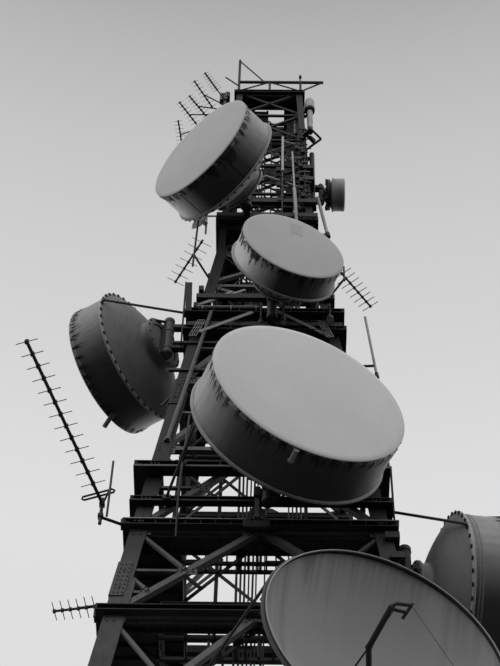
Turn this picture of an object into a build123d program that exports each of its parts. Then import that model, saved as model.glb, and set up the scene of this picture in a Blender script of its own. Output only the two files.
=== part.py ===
from build123d import *
import os
from math import atan, atan2, cos, degrees, hypot, radians, sin

os.makedirs("parts", exist_ok=True)

# All sizes are millimetres at half the real size; the front face looks along -Y
# Tower outline, measured to the outside corners of the legs
FOOT_WIDTH = 4430.0
BEND_WIDTH = 920.0
BEND_Z = 17720.0
TOP_WIDTH = 700.0
TOP_Z = 21340.0
PLINTH_SIZE = 720.0
PLINTH_HEIGHT = 150.0
BASE_PLATE = 330.0
BASE_PLATE_T = 24.0
LEG_START_Z = PLINTH_HEIGHT + BASE_PLATE_T
PLINTH_CHAMFER = 14.0
NUT_R = 20.0
NUT_H = 26.0
NUT_SPREAD = 0.38

# Legs and bracing
LEG_T = 12.0
LEG_SPLICE_Z = 12150.0
LEG_STEPS = (
    (LEG_START_Z, 5850.0, 175.0),
    (5850.0, LEG_SPLICE_Z, 150.0),
    (LEG_SPLICE_Z, 14900.0, 125.0),
    (14900.0, BEND_Z, 95.0),
)
TOP_LEG_WIDTH = 65.0
SPLICE_LENGTH = 420.0
SPLICE_T = 8.0
SPLICE_INSET = 20.0
SPLICE_BOLT_ROWS = 2
SPLICE_BOLT_SHARE = 0.55
BOLT_R = 9.0
BOLT_H = 8.0
MAIN_W = 60.0
MAIN_T = 30.0
FINE_W = 34.0
FINE_T_SHARE = 0.6
CROSS_W_SHARE = 0.7
TOP_BAR_W = 30.0
TOP_BAR_T = 14.0
GUSSET = 170.0
GUSSET_SHARES = (0.8, 0.45)
CROWN_SHARES = (1.6, 0.8)
END_TRIM = 4.0
FIT_GAP = 0.3

# Heights of the panels and of the walkways
PLATFORM_B_Z = 11740.0
PLATFORM_A_Z = 12830.0
PLATFORM_C_Z = 16260.0
PLATFORM_D_Z = 18260.0
DRUM_BEAM_LOW_Z = 13150.0
DRUM_BEAM_HIGH_Z = 13590.0
BRACING_START_Z = LEG_START_Z + 60.0
TOP_DECK_Z = TOP_Z - 30.0
TOP_RING_Z = TOP_Z - 60.0
K_LEVELS = (0.0, 3100.0, 5850.0, 8200.0, 10200.0, PLATFORM_B_Z, PLATFORM_A_Z)
UPPER_K_LEVELS = (PLATFORM_A_Z, 14000.0, 15150.0, PLATFORM_C_Z)
X_LEVELS = (PLATFORM_C_Z, 17000.0, BEND_Z)
TOP_X_LEVELS = (BEND_Z, PLATFORM_D_Z, 18900.0, 19520.0, 20130.0, 20740.0, TOP_Z)

# Walkways
WALK_WIDTH = 330.0
WALK_C_SHARE = 0.7
WALK_D_SHARE = 0.45
TOP_DECK_SHARE = 0.5
DECK_T = 14.0
DECK_RIM = 60.0
JOIST_T = 8.0
RAIL_R = 11.0
RAIL_HEIGHT = 540.0
RAIL_SETBACK = 20.0
RAIL_SEAT = 5.0
DECK_INSET = LEG_T + MAIN_T + FIT_GAP

# Ladders and the beams between them
LADDER_BEAM_Y = 70.0
LADDER_BEAM_T = 30.0
LADDER_SIDE = 12.0
LADDER_FOOT_Z = 60.0
CLIMB_X = 120.0
CLIMB_TOP_Z = TOP_Z - 100.0
CLIMB_WIDTH = 200.0
CLIMB_RUNG_R = 7.0
CLIMB_PITCH = 960.0
CABLE_X = -120.0
CABLE_TOP_Z = TOP_Z - 300.0
CABLE_WIDTH = 170.0
CABLE_RUNG_R = 8.0
CABLE_PITCH = 900.0
LADDER_BEAM_LEVELS = (3100.0, 5850.0, 8200.0, 10200.0, 14000.0, 15150.0)
LADDER_BEAM_HALF = 28.0
TOP_BEAM_LEVELS = (19520.0, 20740.0)
TOP_BEAM_HALF = 14.0

# Ring beams around the outside of the legs
RING_OUT = 58.0
RING_DEPTH = 62.0
RING_FLANGE = 9.0
RING_WEB = 10.0
RING_END = 12.0

# Dish antennas
SHELL_T = 9.0
HUB_LENGTH = 34.0
HUB_SHARE = 0.19
HUB_WALL = 12.0
DEPTH_SHARE = 0.164
FOCUS_SHARE = 0.375
FLANGE = 22.0
RADOME_T = 8.0
RADOME_BAND = 7.0
RADOME_LAP = 34.0
RADOME_BULGE_SHARE = 0.02
MAST_R = 42.0
MAST_SIDES = 12
MAST_STANDOFF = 24.0
HUB_PLATE_T = 20.0
HUB_PLATE_LIP = 18.0
HUB_PLATE_LAND = 58.0
YOKE_WIDTH = 100.0
SADDLE_HALF = 90.0
SADDLE_RISE = 40.0
ARM_WIDTH = 56.0
ARM_DEPTH = 50.0
RAIL_HALF = 34.0
RAIL_REACH = 46.0
RAIL_WALL = 8.0
RAIL_INNER = 60.0
STAY_R = 11.0
LUG_LENGTH = 28.0
LUG_WIDTH = 30.0
LUG_HOLE = 18.0
LUG_SHARE = 0.55
PAD_T = 16.0
PAD_HALF = 30.0
LOW_PAD_HALF = 25.0

# Ring beam reach beyond the legs
DRUM_BEAM_LOW_OUT = 58.0
DRUM_BEAM_HIGH_OUT = 99.0
DRUM_BEAM_HIGH_DEPTH = RING_DEPTH + 14.0
RING_C_OUT = 88.0
RING_C_LOW_OUT = 70.0
RING_C_LOW_Z = PLATFORM_C_Z - 300.0
RING_D_OUT = 48.0
TOP_RING_OUT = 30.0
TOP_RING_DEPTH = RING_DEPTH * 0.8

# Top rail frame
FRAME_RAIL_Z = TOP_Z + 240.0
FRAME_POST_Z = TOP_Z + 800.0
FRAME_INSET = 14.0
FRAME_SEAT = 12.0
CORNER_POST_R = 14.0
FRAME_POST_R = 12.0
FRAME_BRACE_R = 8.0
FRAME_BAR_W = 24.0
FRAME_RAIL_DEPTH = 30.0
FRAME_OVERHANG = 250.0
FRAME_STRUT_R = 9.0
AERIAL_R = 7.0
AERIAL_TIP_R = 16.0
AERIAL_TOP_Z = TOP_Z + 540.0
AERIAL_TIP_LENGTH = 50.0

# Small antennas
SMALL_DRUM_D = 330.0
SMALL_DRUM_Z = 19262.0
SMALL_DISH_D = 230.0
SMALL_DISH_Z = 18290.0
POLE_R = 10.0
WHIP_R = 9.0
CLAMP_T = 16.0
CLAMP_HALF = 30.0
DIRECTORS_FROM = 0.06
DIRECTORS_SPAN = 0.93
DIRECTOR_TAPER = 0.12
DIPOLE_AT = 0.07
DIPOLE_REACH = 0.62
DIPOLE_R_SHARE = 3.2


def half(z):
    if z <= BEND_Z:
        return FOOT_WIDTH / 2 + (BEND_WIDTH - FOOT_WIDTH) / 2 * z / BEND_Z
    share = (z - BEND_Z) / (TOP_Z - BEND_Z)
    return BEND_WIDTH / 2 + (TOP_WIDTH - BEND_WIDTH) / 2 * share


BODY_LEAN = atan((FOOT_WIDTH - BEND_WIDTH) / 2 / BEND_Z)
TOP_LEAN = atan((BEND_WIDTH - TOP_WIDTH) / 2 / (TOP_Z - BEND_Z))


def save(shape, name):
    export_step(shape, "parts/" + name + ".step")


def box(x0, x1, y0, y1, z0, z1):
    centre = Pos((x0 + x1) / 2, (y0 + y1) / 2, (z0 + z1) / 2)
    return centre * Box(abs(x1 - x0), abs(y1 - y0), abs(z1 - z0))


def rod(a, b, radius, count=6):
    start = Vector(*a)
    path = Vector(*b) - start
    plane = Plane(origin=start, z_dir=path)
    return extrude(plane * RegularPolygon(radius, count), path.length)


def beam(a, b, width, depth, up=(0, 0, 1)):
    start = Vector(*a)
    path = Vector(*b) - start
    side = path.cross(Vector(*up))
    plane = Plane(origin=start, x_dir=side, z_dir=path)
    return extrude(plane * Rectangle(width, depth), path.length)


def frustum(z0, z1, offset):
    low = Plane.XY.offset(z0) * Rectangle(2 * (half(z0) + offset), 2 * (half(z0) + offset))
    high = Plane.XY.offset(z1) * Rectangle(2 * (half(z1) + offset), 2 * (half(z1) + offset))
    return loft([low, high])


def turned(shape, face):
    return Rot(0, 0, 90 * face) * shape


# Footings and base plates
plinths = []
plates = []
foot = half(LEG_START_Z) - LEG_STEPS[0][2] / 3
for sx in (-1, 1):
    for sy in (-1, 1):
        block = box(-PLINTH_SIZE / 2, PLINTH_SIZE / 2, -PLINTH_SIZE / 2, PLINTH_SIZE / 2, 0, PLINTH_HEIGHT)
        block = chamfer(block.edges().group_by(Axis.Z)[-1], PLINTH_CHAMFER)
        plinths.append(Pos(sx * foot, sy * foot, 0) * block)
        top = PLINTH_HEIGHT + BASE_PLATE_T
        plate = box(-BASE_PLATE / 2, BASE_PLATE / 2, -BASE_PLATE / 2, BASE_PLATE / 2, PLINTH_HEIGHT, top)
        for bx in (-1, 1):
            for by in (-1, 1):
                nut_at = Pos(bx * BASE_PLATE * NUT_SPREAD, by * BASE_PLATE * NUT_SPREAD, top)
                nut = extrude(RegularPolygon(NUT_R, 6), NUT_H)
                plate += nut_at * nut
        plates.append(Pos(sx * foot, sy * foot, 0) * plate)
save(Compound(children=plinths), "footings")
save(Compound(children=plates), "base_plates")


# Corner legs: rolled angles that get lighter towards the top, with bolted splices
def angle_section(sx, sy, z, width, inset=0.0, thickness=LEG_T):
    h = half(z) - inset
    points = [
        (sx * h, sy * h),
        (sx * (h - width), sy * h),
        (sx * (h - width), sy * (h - thickness)),
        (sx * (h - thickness), sy * (h - thickness)),
        (sx * (h - thickness), sy * (h - width)),
        (sx * h, sy * (h - width)),
    ]
    return Plane.XY.offset(z) * make_face(Polyline(*points, close=True))


def leg_length(sx, sy, z0, z1, width, inset=0.0, thickness=LEG_T):
    start = Vector(sx * half(z0), sy * half(z0), z0)
    end = Vector(sx * half(z1), sy * half(z1), z1)
    section = angle_section(sx, sy, z0, width, inset, thickness)
    return extrude(section, amount=(end - start).length, dir=(end - start))


def corner_leg(sx, sy):
    leg = None
    for z0, z1, width in LEG_STEPS:
        piece = leg_length(sx, sy, z0, z1, width)
        leg = piece if leg is None else leg + piece
    leg += leg_length(sx, sy, BEND_Z, TOP_Z, TOP_LEG_WIDTH)
    for step in range(1, len(LEG_STEPS)):
        joint_z = LEG_STEPS[step][0]
        width = LEG_STEPS[step][2] - SPLICE_INSET
        low = joint_z - SPLICE_LENGTH / 2
        high = joint_z + SPLICE_LENGTH / 2
        leg += leg_length(sx, sy, low, high, width, -SPLICE_T, SPLICE_T + 1)
        for row in range(SPLICE_BOLT_ROWS):
            z = low + SPLICE_LENGTH * (row + 0.5) / SPLICE_BOLT_ROWS
            out = half(z) + SPLICE_T - 1
            across = out - width * SPLICE_BOLT_SHARE
            bolt = extrude(RegularPolygon(BOLT_R, 6), BOLT_H)
            leg += Pos(sx * out, sy * across, z) * Rot(0, 90 * sx, 0) * bolt
            leg += Pos(sx * across, sy * out, z) * Rot(-90 * sy, 0, 0) * bolt
    return leg


corners = {"front_left": (-1, -1), "front_right": (1, -1), "rear_left": (-1, 1), "rear_right": (1, 1)}
for name, (sx, sy) in corners.items():
    save(corner_leg(sx, sy), "leg_" + name)


# Bracing: each side is drawn flat, in millimetres along the slope, and then leaned in
def strip(a, b, width):
    dx = b[0] - a[0]
    dy = b[1] - a[1]
    middle = Pos((a[0] + b[0]) / 2, (a[1] + b[1]) / 2)
    return middle * Rot(0, 0, degrees(atan2(dy, dx))) * Rectangle(hypot(dx, dy), width)


def side_x(z, width=0.0):
    return half(z) - LEG_T - MAIN_T - FIT_GAP - width


def k_panel(z0, z1, full):
    edge = MAIN_W / 2 + END_TRIM
    zm = (z0 + z1) / 2
    main = []
    fine = []
    for s in (-1, 1):
        foot_point = (s * side_x(z0, edge), z0)
        apex = (0, z1)
        middle = ((foot_point[0] + apex[0]) / 2, zm)
        main.append(strip(foot_point, apex, MAIN_W))
        fine.append(strip((s * side_x(zm, edge), zm), middle, FINE_W))
        main.append(Pos(*middle) * Rectangle(GUSSET * GUSSET_SHARES[0], GUSSET * GUSSET_SHARES[1]))
        if full:
            fine.append(strip((s * side_x(z1, edge), z1), middle, FINE_W))
    main.append(strip((-side_x(z1, END_TRIM), z1), (side_x(z1, END_TRIM), z1), MAIN_W))
    main.append(Pos(0, z1) * Rectangle(GUSSET * CROWN_SHARES[0], GUSSET * CROWN_SHARES[1]))
    return main, fine


def x_panel(z0, z1, width):
    edge = width / 2 + END_TRIM
    bars = []
    for s in (-1, 1):
        bars.append(strip((s * side_x(z0, edge), z0), (-s * side_x(z1, edge), z1), width))
    bars.append(strip((-side_x(z1, END_TRIM), z1), (side_x(z1, END_TRIM), z1), width))
    return bars


def lean(flat, base_z, lean_angle, depth):
    solid = extrude(flat, -depth)
    y = -(half(base_z) - LEG_T)
    place = Plane(origin=(0, y, base_z), x_dir=(1, 0, 0), z_dir=(0, -cos(lean_angle), sin(lean_angle)))
    return place.location * solid


def along(sketch, base_z, lean_angle):
    return scale(Pos(0, -base_z, 0) * sketch, (1, 1 / cos(lean_angle), 1))


main_bars = []
fine_bars = []
for low, high in zip(K_LEVELS, K_LEVELS[1:]):
    bottom = max(low, BRACING_START_Z)
    main, fine = k_panel(bottom, high, True)
    main_bars += main
    fine_bars += fine
ground_panel_mid = (BRACING_START_Z + K_LEVELS[1]) / 2
fine_bars.append(strip((-side_x(ground_panel_mid, MAIN_W), ground_panel_mid),
                       (side_x(ground_panel_mid, MAIN_W), ground_panel_mid), MAIN_W))
for low, high in zip(K_LEVELS[1:4], K_LEVELS[2:5]):
    fine_bars.append(strip((0, low), (0, high), FINE_W))
for low, high in zip(UPPER_K_LEVELS, UPPER_K_LEVELS[1:]):
    main, fine = k_panel(low, high, False)
    main_bars += main
    fine_bars += fine
for low, high in zip(X_LEVELS, X_LEVELS[1:]):
    main_bars += x_panel(low, high - MAIN_W if high == BEND_Z else high, MAIN_W * CROSS_W_SHARE)
main_flat = along(Sketch() + main_bars, 0.0, BODY_LEAN)
fine_flat = along(Sketch() + fine_bars, 0.0, BODY_LEAN)
side_lattice = lean(main_flat, 0.0, BODY_LEAN, MAIN_T)
side_lattice += lean(fine_flat, 0.0, BODY_LEAN, MAIN_T * FINE_T_SHARE)

top_bars = []
for low, high in zip(TOP_X_LEVELS, TOP_X_LEVELS[1:]):
    start = low + TOP_BAR_W if low == BEND_Z else low
    end = high - TOP_BAR_W if high == TOP_Z else high
    top_bars += x_panel(start, end, TOP_BAR_W)
top_flat = along(Sketch() + top_bars, BEND_Z, TOP_LEAN)
top_lattice = lean(top_flat, BEND_Z, TOP_LEAN, TOP_BAR_T)

sides = ("front", "right", "rear", "left")
for face, name in enumerate(sides):
    save(turned(side_lattice, face), "bracing_" + name)
    save(turned(top_lattice, face), "top_bracing_" + name)


# Walkways: a square ring of plate inside the legs, with a rim, joists and a hand rail
def walkway(z, width, inset, rail):
    outer = frustum(z - DECK_RIM, z, -inset)
    inner_half = half(z) - inset - width
    inner = box(-inner_half, inner_half, -inner_half, inner_half, z - DECK_RIM - 1, z + 1)
    under = frustum(z - DECK_RIM - 1, z - DECK_T, -inset - JOIST_T)
    under -= box(-inner_half - JOIST_T, inner_half + JOIST_T, -inner_half - JOIST_T,
                 inner_half + JOIST_T, z - DECK_RIM - 2, z)
    ring = outer - inner - under
    for face in range(4):
        for share in (-0.5, 0.0, 0.5):
            x = share * inner_half * 2
            edge = -half(z) + inset + 1
            joist = box(x - JOIST_T / 2, x + JOIST_T / 2, edge, -inner_half - 1, z - DECK_RIM, z - 1)
            ring += turned(joist, face)
    beam_end = LADDER_BEAM_Y + LADDER_BEAM_T
    ring += box(-inner_half - 2, inner_half + 2, LADDER_BEAM_Y, beam_end, z - DECK_RIM, z - 2)
    if rail:
        r = inner_half + RAIL_SETBACK
        for face in range(4):
            bars = rod((-r, -r, z - RAIL_SEAT), (-r, -r, z + RAIL_HEIGHT), RAIL_R, 4)
            bars += rod((0, -r, z - RAIL_SEAT), (0, -r, z + RAIL_HEIGHT), RAIL_R, 4)
            bars += rod((-r, -r, z + RAIL_HEIGHT), (r, -r, z + RAIL_HEIGHT), RAIL_R, 4)
            bars += rod((-r, -r, z + RAIL_HEIGHT / 2), (r, -r, z + RAIL_HEIGHT / 2), RAIL_R, 4)
            ring += turned(bars, face)
    return ring


save(walkway(PLATFORM_B_Z, WALK_WIDTH, DECK_INSET, True), "walkway_b")
save(walkway(PLATFORM_A_Z, WALK_WIDTH, DECK_INSET, True), "walkway_a")
save(walkway(PLATFORM_C_Z, WALK_WIDTH * WALK_C_SHARE, DECK_INSET, True), "walkway_c")
top_inset = LEG_T + TOP_BAR_T + FIT_GAP
save(walkway(PLATFORM_D_Z, WALK_WIDTH * WALK_D_SHARE, top_inset, False), "walkway_d")
save(walkway(TOP_DECK_Z, WALK_WIDTH * TOP_DECK_SHARE, top_inset, False), "top_deck")


# Ring beams: channels bolted around the legs, their backs leaned to match
def ring_beam(z, depth, out):
    outer = half(z) + out
    ring = box(-outer, outer, -outer, outer, z - depth / 2, z + depth / 2)
    ring -= frustum(z - depth / 2 - 5, z + depth / 2 + 5, FIT_GAP)
    for face in range(4):
        web = half(z) + RING_WEB + depth / 2 * sin(BODY_LEAN)
        groove = box(-outer + RING_END, outer - RING_END, -outer - 1, -web,
                     z - depth / 2 + RING_FLANGE, z + depth / 2 - RING_FLANGE)
        ring -= turned(groove, face)
    return ring


ring_groups = {
    "ring_beams_low": (
        (PLATFORM_B_Z, RING_DEPTH, RING_OUT),
        (PLATFORM_A_Z, RING_DEPTH, RING_OUT),
    ),
    "ring_beams_drum": (
        (DRUM_BEAM_LOW_Z, RING_DEPTH, DRUM_BEAM_LOW_OUT),
        (DRUM_BEAM_HIGH_Z, DRUM_BEAM_HIGH_DEPTH, DRUM_BEAM_HIGH_OUT),
    ),
    "ring_beams_middle": (
        (PLATFORM_C_Z, RING_DEPTH, RING_C_OUT),
        (RING_C_LOW_Z, RING_DEPTH, RING_C_LOW_OUT),
    ),
    "ring_beams_top": (
        (PLATFORM_D_Z, TOP_RING_DEPTH, RING_D_OUT),
        (TOP_RING_Z, TOP_RING_DEPTH, TOP_RING_OUT),
    ),
}
for name, rings in ring_groups.items():
    save(Compound(children=[ring_beam(z, depth, out) for z, depth, out in rings]), name)

# Top rail frame with a tall corner post and its stay
sill_z = TOP_Z + FIT_GAP + FRAME_SEAT
r = half(TOP_Z) - FRAME_INSET
top_frame = rod((-r, -r, sill_z), (-r, -r, FRAME_POST_Z), CORNER_POST_R)
for px, py in ((r, -r), (r, r), (-r, r), (0, -r), (0, r)):
    top_frame += rod((px, py, sill_z), (px, py, FRAME_RAIL_Z), FRAME_POST_R)
end = r + FRAME_SEAT
for face in range(4):
    rail_bar = beam((-end, -r, FRAME_RAIL_Z), (end, -r, FRAME_RAIL_Z), FRAME_BAR_W, FRAME_RAIL_DEPTH)
    top_frame += turned(rail_bar, face)
    top_frame += turned(beam((-end, -r, sill_z), (end, -r, sill_z), FRAME_BAR_W, FRAME_BAR_W), face)
    top_frame += turned(rod((-r, -r, sill_z + 10), (0, -r, FRAME_RAIL_Z), FRAME_BRACE_R), face)
    top_frame += turned(rod((0, -r, FRAME_RAIL_Z), (r, -r, sill_z + 10), FRAME_BRACE_R), face)
overhang = (r + FRAME_OVERHANG, -r, FRAME_RAIL_Z)
top_frame += beam((r, -r, FRAME_RAIL_Z), overhang, FRAME_BAR_W, FRAME_RAIL_DEPTH)
top_frame += rod((r + FRAME_OVERHANG - 10, -r, FRAME_RAIL_Z), (r, -r, sill_z), FRAME_STRUT_R)
top_frame += rod((-r, -r, FRAME_POST_Z - 20), (-r + 280, -r, FRAME_RAIL_Z), FRAME_BRACE_R)
aerial_y = -r * 0.75
aerial_tip = AERIAL_TOP_Z - 10 + AERIAL_TIP_LENGTH
top_frame += rod((r, aerial_y, sill_z), (r, aerial_y, AERIAL_TOP_Z), AERIAL_R)
top_frame += rod((r, aerial_y, AERIAL_TOP_Z - 10), (r, aerial_y, aerial_tip), AERIAL_TIP_R, 8)
top_frame += rod((-r, -r, TOP_Z + 140), (-r - 150, -r - 20, TOP_Z + 316), FRAME_BRACE_R)
save(top_frame, "top_frame")


# Ladder and cable ladder up the inside of the tower
def ladder(x, y, z0, z1, width, side, rung_r, pitch):
    run = box(x - width / 2, x - width / 2 + side, y - side, y + side, z0, z1)
    run += box(x + width / 2 - side, x + width / 2, y - side, y + side, z0, z1)
    count = int((z1 - z0) / pitch)
    for step in range(count):
        z = z0 + pitch * (step + 0.5)
        run += box(x - width / 2 + 1, x + width / 2 - 1, y - rung_r, y + rung_r, z - rung_r, z + rung_r)
    return run


def ladder_beam(z, half_height, inset):
    rear = LADDER_BEAM_Y + LADDER_BEAM_T
    bar = box(-half(z), half(z), LADDER_BEAM_Y, rear, z - half_height, z + half_height)
    return bar & frustum(z - 2 * half_height, z + 2 * half_height, -inset)


climb_y = LADDER_BEAM_Y - LADDER_SIDE
climb = ladder(
    CLIMB_X,
    climb_y,
    LADDER_FOOT_Z,
    CLIMB_TOP_Z,
    CLIMB_WIDTH,
    LADDER_SIDE,
    CLIMB_RUNG_R,
    CLIMB_PITCH,
)
for z in LADDER_BEAM_LEVELS:
    climb += ladder_beam(z, LADDER_BEAM_HALF, DECK_INSET)
for z in TOP_BEAM_LEVELS:
    climb += ladder_beam(z, TOP_BEAM_HALF, top_inset)
save(climb, "ladder")
cable_y = LADDER_BEAM_Y + LADDER_BEAM_T + FIT_GAP + LADDER_SIDE
cable_run = ladder(
    CABLE_X,
    cable_y,
    LADDER_FOOT_Z,
    CABLE_TOP_Z,
    CABLE_WIDTH,
    LADDER_SIDE,
    CABLE_RUNG_R,
    CABLE_PITCH,
)
save(cable_run, "cable_ladder")


# Drum antennas: a parabolic reflector with a bolted flange and a long shroud, closed by a radome
def spun(outline):
    return revolve(make_face(outline), Axis.Y)


def parabola(radius, vertex, edge):
    return Bezier((0, vertex), (radius / 2, vertex), (radius, edge))


def reflector(diameter, shroud, depth, hub_r):
    rim = diameter / 2
    bore = rim - SHELL_T
    back = shroud + depth + SHELL_T
    wall = Polyline(
        (rim, shroud),
        (rim + FLANGE, shroud),
        (rim + FLANGE, shroud - FLANGE),
        (rim, shroud - FLANGE),
        (rim, 0),
        (bore, 0),
        (bore, shroud),
    )
    shape = spun(
        parabola(rim, back, shroud)
        + wall
        + parabola(bore, shroud + depth, shroud)
        + Line((0, shroud + depth), (0, back))
    )
    seat = shroud + (depth + SHELL_T) * (1 - (hub_r / rim) ** 2) - SHELL_T * 0.3
    hub = Polyline(
        (hub_r, seat),
        (hub_r, back + HUB_LENGTH),
        (hub_r - HUB_WALL, back + HUB_LENGTH),
        (hub_r - HUB_WALL, seat),
        close=True,
    )
    return shape + spun(hub)


def radome(diameter):
    rim = diameter / 2 + FIT_GAP
    bulge = diameter * RADOME_BULGE_SHARE
    seat = rim - 2 * SHELL_T
    band = Polyline(
        (seat, 0),
        (rim, 0),
        (rim, RADOME_LAP),
        (rim + RADOME_BAND, RADOME_LAP),
        (rim + RADOME_BAND, -RADOME_T),
    )
    return spun(
        parabola(rim + RADOME_BAND, -RADOME_T - bulge, -RADOME_T)
        + band
        + parabola(seat, -bulge, 0)
        + Line((0, -bulge), (0, -RADOME_T - bulge))
    )


def rail(z, side):
    out = half(z) + RAIL_REACH
    bar = box(-out, out, -out, -half(z) + RAIL_INNER, z - RAIL_HALF, z + RAIL_HALF)
    bar -= frustum(z - 60, z + 60, FIT_GAP)
    bar -= box(
        -out + RAIL_WALL,
        out - RAIL_WALL,
        -out + RAIL_WALL * 1.5,
        0,
        z - RAIL_HALF + RAIL_WALL,
        z + RAIL_HALF - RAIL_WALL,
    )
    return turned(bar, side)


def stay(place, diameter, shroud, angle, end):
    radius = diameter / 2 + FLANGE * LUG_SHARE
    x = radius * cos(radians(angle))
    z = radius * sin(radians(angle))
    near = shroud + FIT_GAP
    lug = Pos(x, near + LUG_LENGTH / 2, z) * Rot(0, -angle, 0) * Box(PAD_T, LUG_LENGTH, LUG_WIDTH)
    tip = (place * Pos(x, near + LUG_HOLE, z)).position
    return place * lug + rod((tip.X, tip.Y, tip.Z), end, STAY_R)


def hub_back(diameter, shroud):
    return shroud + DEPTH_SHARE * diameter + SHELL_T + HUB_LENGTH


def mast_centre(place, diameter, shroud):
    return (place * Pos(0, hub_back(diameter, shroud) + MAST_STANDOFF + MAST_R, 0)).position


def mount_frame(place, diameter, shroud, mast, side, rails):
    hub_r = diameter * HUB_SHARE
    seat = hub_back(diameter, shroud) + FIT_GAP
    plate = Polyline(
        (hub_r + HUB_PLATE_LIP, seat),
        (hub_r + HUB_PLATE_LIP, seat + HUB_PLATE_T),
        (hub_r + HUB_PLATE_LIP - HUB_PLATE_LAND, seat + HUB_PLATE_T),
        (hub_r + HUB_PLATE_LIP - HUB_PLATE_LAND, seat),
        close=True,
    )
    frame = place * spun(plate)
    centre = mast_centre(place, diameter, shroud)
    reach = seat + MAST_STANDOFF + MAST_R
    half_yoke = YOKE_WIDTH / 2
    frame += place * box(-half_yoke, half_yoke, seat + 1, reach, -hub_r, hub_r)
    frame += rod((centre.X, centre.Y, mast[0]), (centre.X, centre.Y, mast[1]), MAST_R, MAST_SIDES)
    for z in rails:
        frame += rail(z, side)
        edge = -half(z) - RAIL_REACH + 2
        local = Rot(0, 0, -90 * side) * Pos(centre.X, centre.Y, z)
        lx = local.position.X
        arm = beam((lx, local.position.Y, z), (lx, edge, z), ARM_WIDTH, ARM_DEPTH)
        frame += turned(arm, side)
    return frame


# Each drum: diameter, middle of its front rim, bearing and rise of its aim in degrees,
# shroud length, foot and head of its mast, side of the tower and heights of its rails
antennas = {
    "drum_1": (1180.0, (-638, -1143, 18430), -133.5, 0.0, 345.0, (18120, 18760), 0, (18340, 18640)),
    "drum_2": (915.0, (240, -1292, 16336), -69.3, 0.0, 250.0, (15900, 16780), 0, (16060, 16620)),
    "drum_3": (1510.0, (347, -1745, 13420), -67.3, 0.0, 410.0, (13000, 13800), 0, ()),
    "drum_4": (1220.0, (-1424, 180, 16570), 148.0, 0.0, 340.0, (16330, 16900), 3, (16440, 16780)),
    "drum_5": (1220.0, (1708, -555, 12488), 9.9, 4.9, 350.0, (12050, 12960), 1, (12440, 12700)),
    "open_dish": (1600.0, (796, -1978, 10390), -67.6, 0.0, 40.0, (9950, 10830), 0, (10080, 10700)),
}


def aimed(at, bearing, rise):
    return Pos(*at) * Rot(0, 0, bearing + 90) * Rot(-rise, 0, 0)


def low_pad(x, z, out):
    """Pad on the front of a ring beam, under the foot of a stay"""
    face_y = -half(z) - out - FIT_GAP
    return box(x - PAD_HALF, x + PAD_HALF, face_y - PAD_T, face_y, z - LOW_PAD_HALF, z + LOW_PAD_HALF)


def side_pad(side, y, z, out):
    x = half(z) + out + FIT_GAP
    low = z - RING_DEPTH / 2
    return box(side * x, side * (x + PAD_T), y - PAD_HALF, y + PAD_HALF, low, low + RING_DEPTH)


def extra_stays(name, place, diameter, shroud, rails):
    """Stays from the flange back to the tower, with the pads they stand on"""
    if name == "drum_1":
        z = rails[1]
        return stay(place, diameter, shroud, 165, (-half(z) - 20, -half(z) - RAIL_REACH + 4, z))
    if name == "drum_2":
        z = rails[1]
        return stay(place, diameter, shroud, 20, (half(z) + 20, -half(z) - RAIL_REACH + 4, z))
    if name == "drum_4":
        y = -590
        end = (-half(PLATFORM_C_Z) - RING_C_OUT - PAD_T / 2, y, PLATFORM_C_Z)
        return side_pad(-1, y, PLATFORM_C_Z, RING_C_OUT) + stay(place, diameter, shroud, 60, end)
    if name == "drum_5":
        y = -860
        end = (half(DRUM_BEAM_LOW_Z) + DRUM_BEAM_LOW_OUT + PAD_T / 2, y, DRUM_BEAM_LOW_Z)
        pad = side_pad(1, y, DRUM_BEAM_LOW_Z, DRUM_BEAM_LOW_OUT)
        return pad + stay(place, diameter, shroud, 172, end)
    if name == "open_dish":
        z = rails[1]
        y = -half(z) - RAIL_REACH + 4
        left = stay(place, diameter, shroud, 160, (-half(z) * 0.4, y, z))
        return left + stay(place, diameter, shroud, 20, (half(z), y, z))
    centre = mast_centre(place, diameter, shroud)
    held = None
    beams = (
        (200, -700, DRUM_BEAM_LOW_Z, DRUM_BEAM_LOW_OUT),
        (150, -600, DRUM_BEAM_HIGH_Z, DRUM_BEAM_HIGH_OUT),
    )
    for angle, x, z, out in beams:
        face_y = -half(z) - out - FIT_GAP
        left = centre.X - SADDLE_HALF
        saddle = box(left, left + 2 * SADDLE_HALF, centre.Y, face_y, z - SADDLE_RISE, z + SADDLE_RISE)
        held = saddle if held is None else held + saddle
        held += low_pad(x, z, out)
        held += stay(place, diameter, shroud, angle, (x, face_y - PAD_T / 2, z))
    return held


for name, (diameter, at, bearing, rise, shroud, mast, side, rails) in antennas.items():
    place = aimed(at, bearing, rise)
    hub_r = HUB_SHARE * diameter
    save(place * reflector(diameter, shroud, DEPTH_SHARE * diameter, hub_r), name + "_bowl")
    if name != "open_dish":
        save(place * radome(diameter), name + "_radome")
    frame = mount_frame(place, diameter, shroud, mast, side, rails)
    frame += extra_stays(name, place, diameter, shroud, rails)
    save(frame, name + "_mount")

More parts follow.
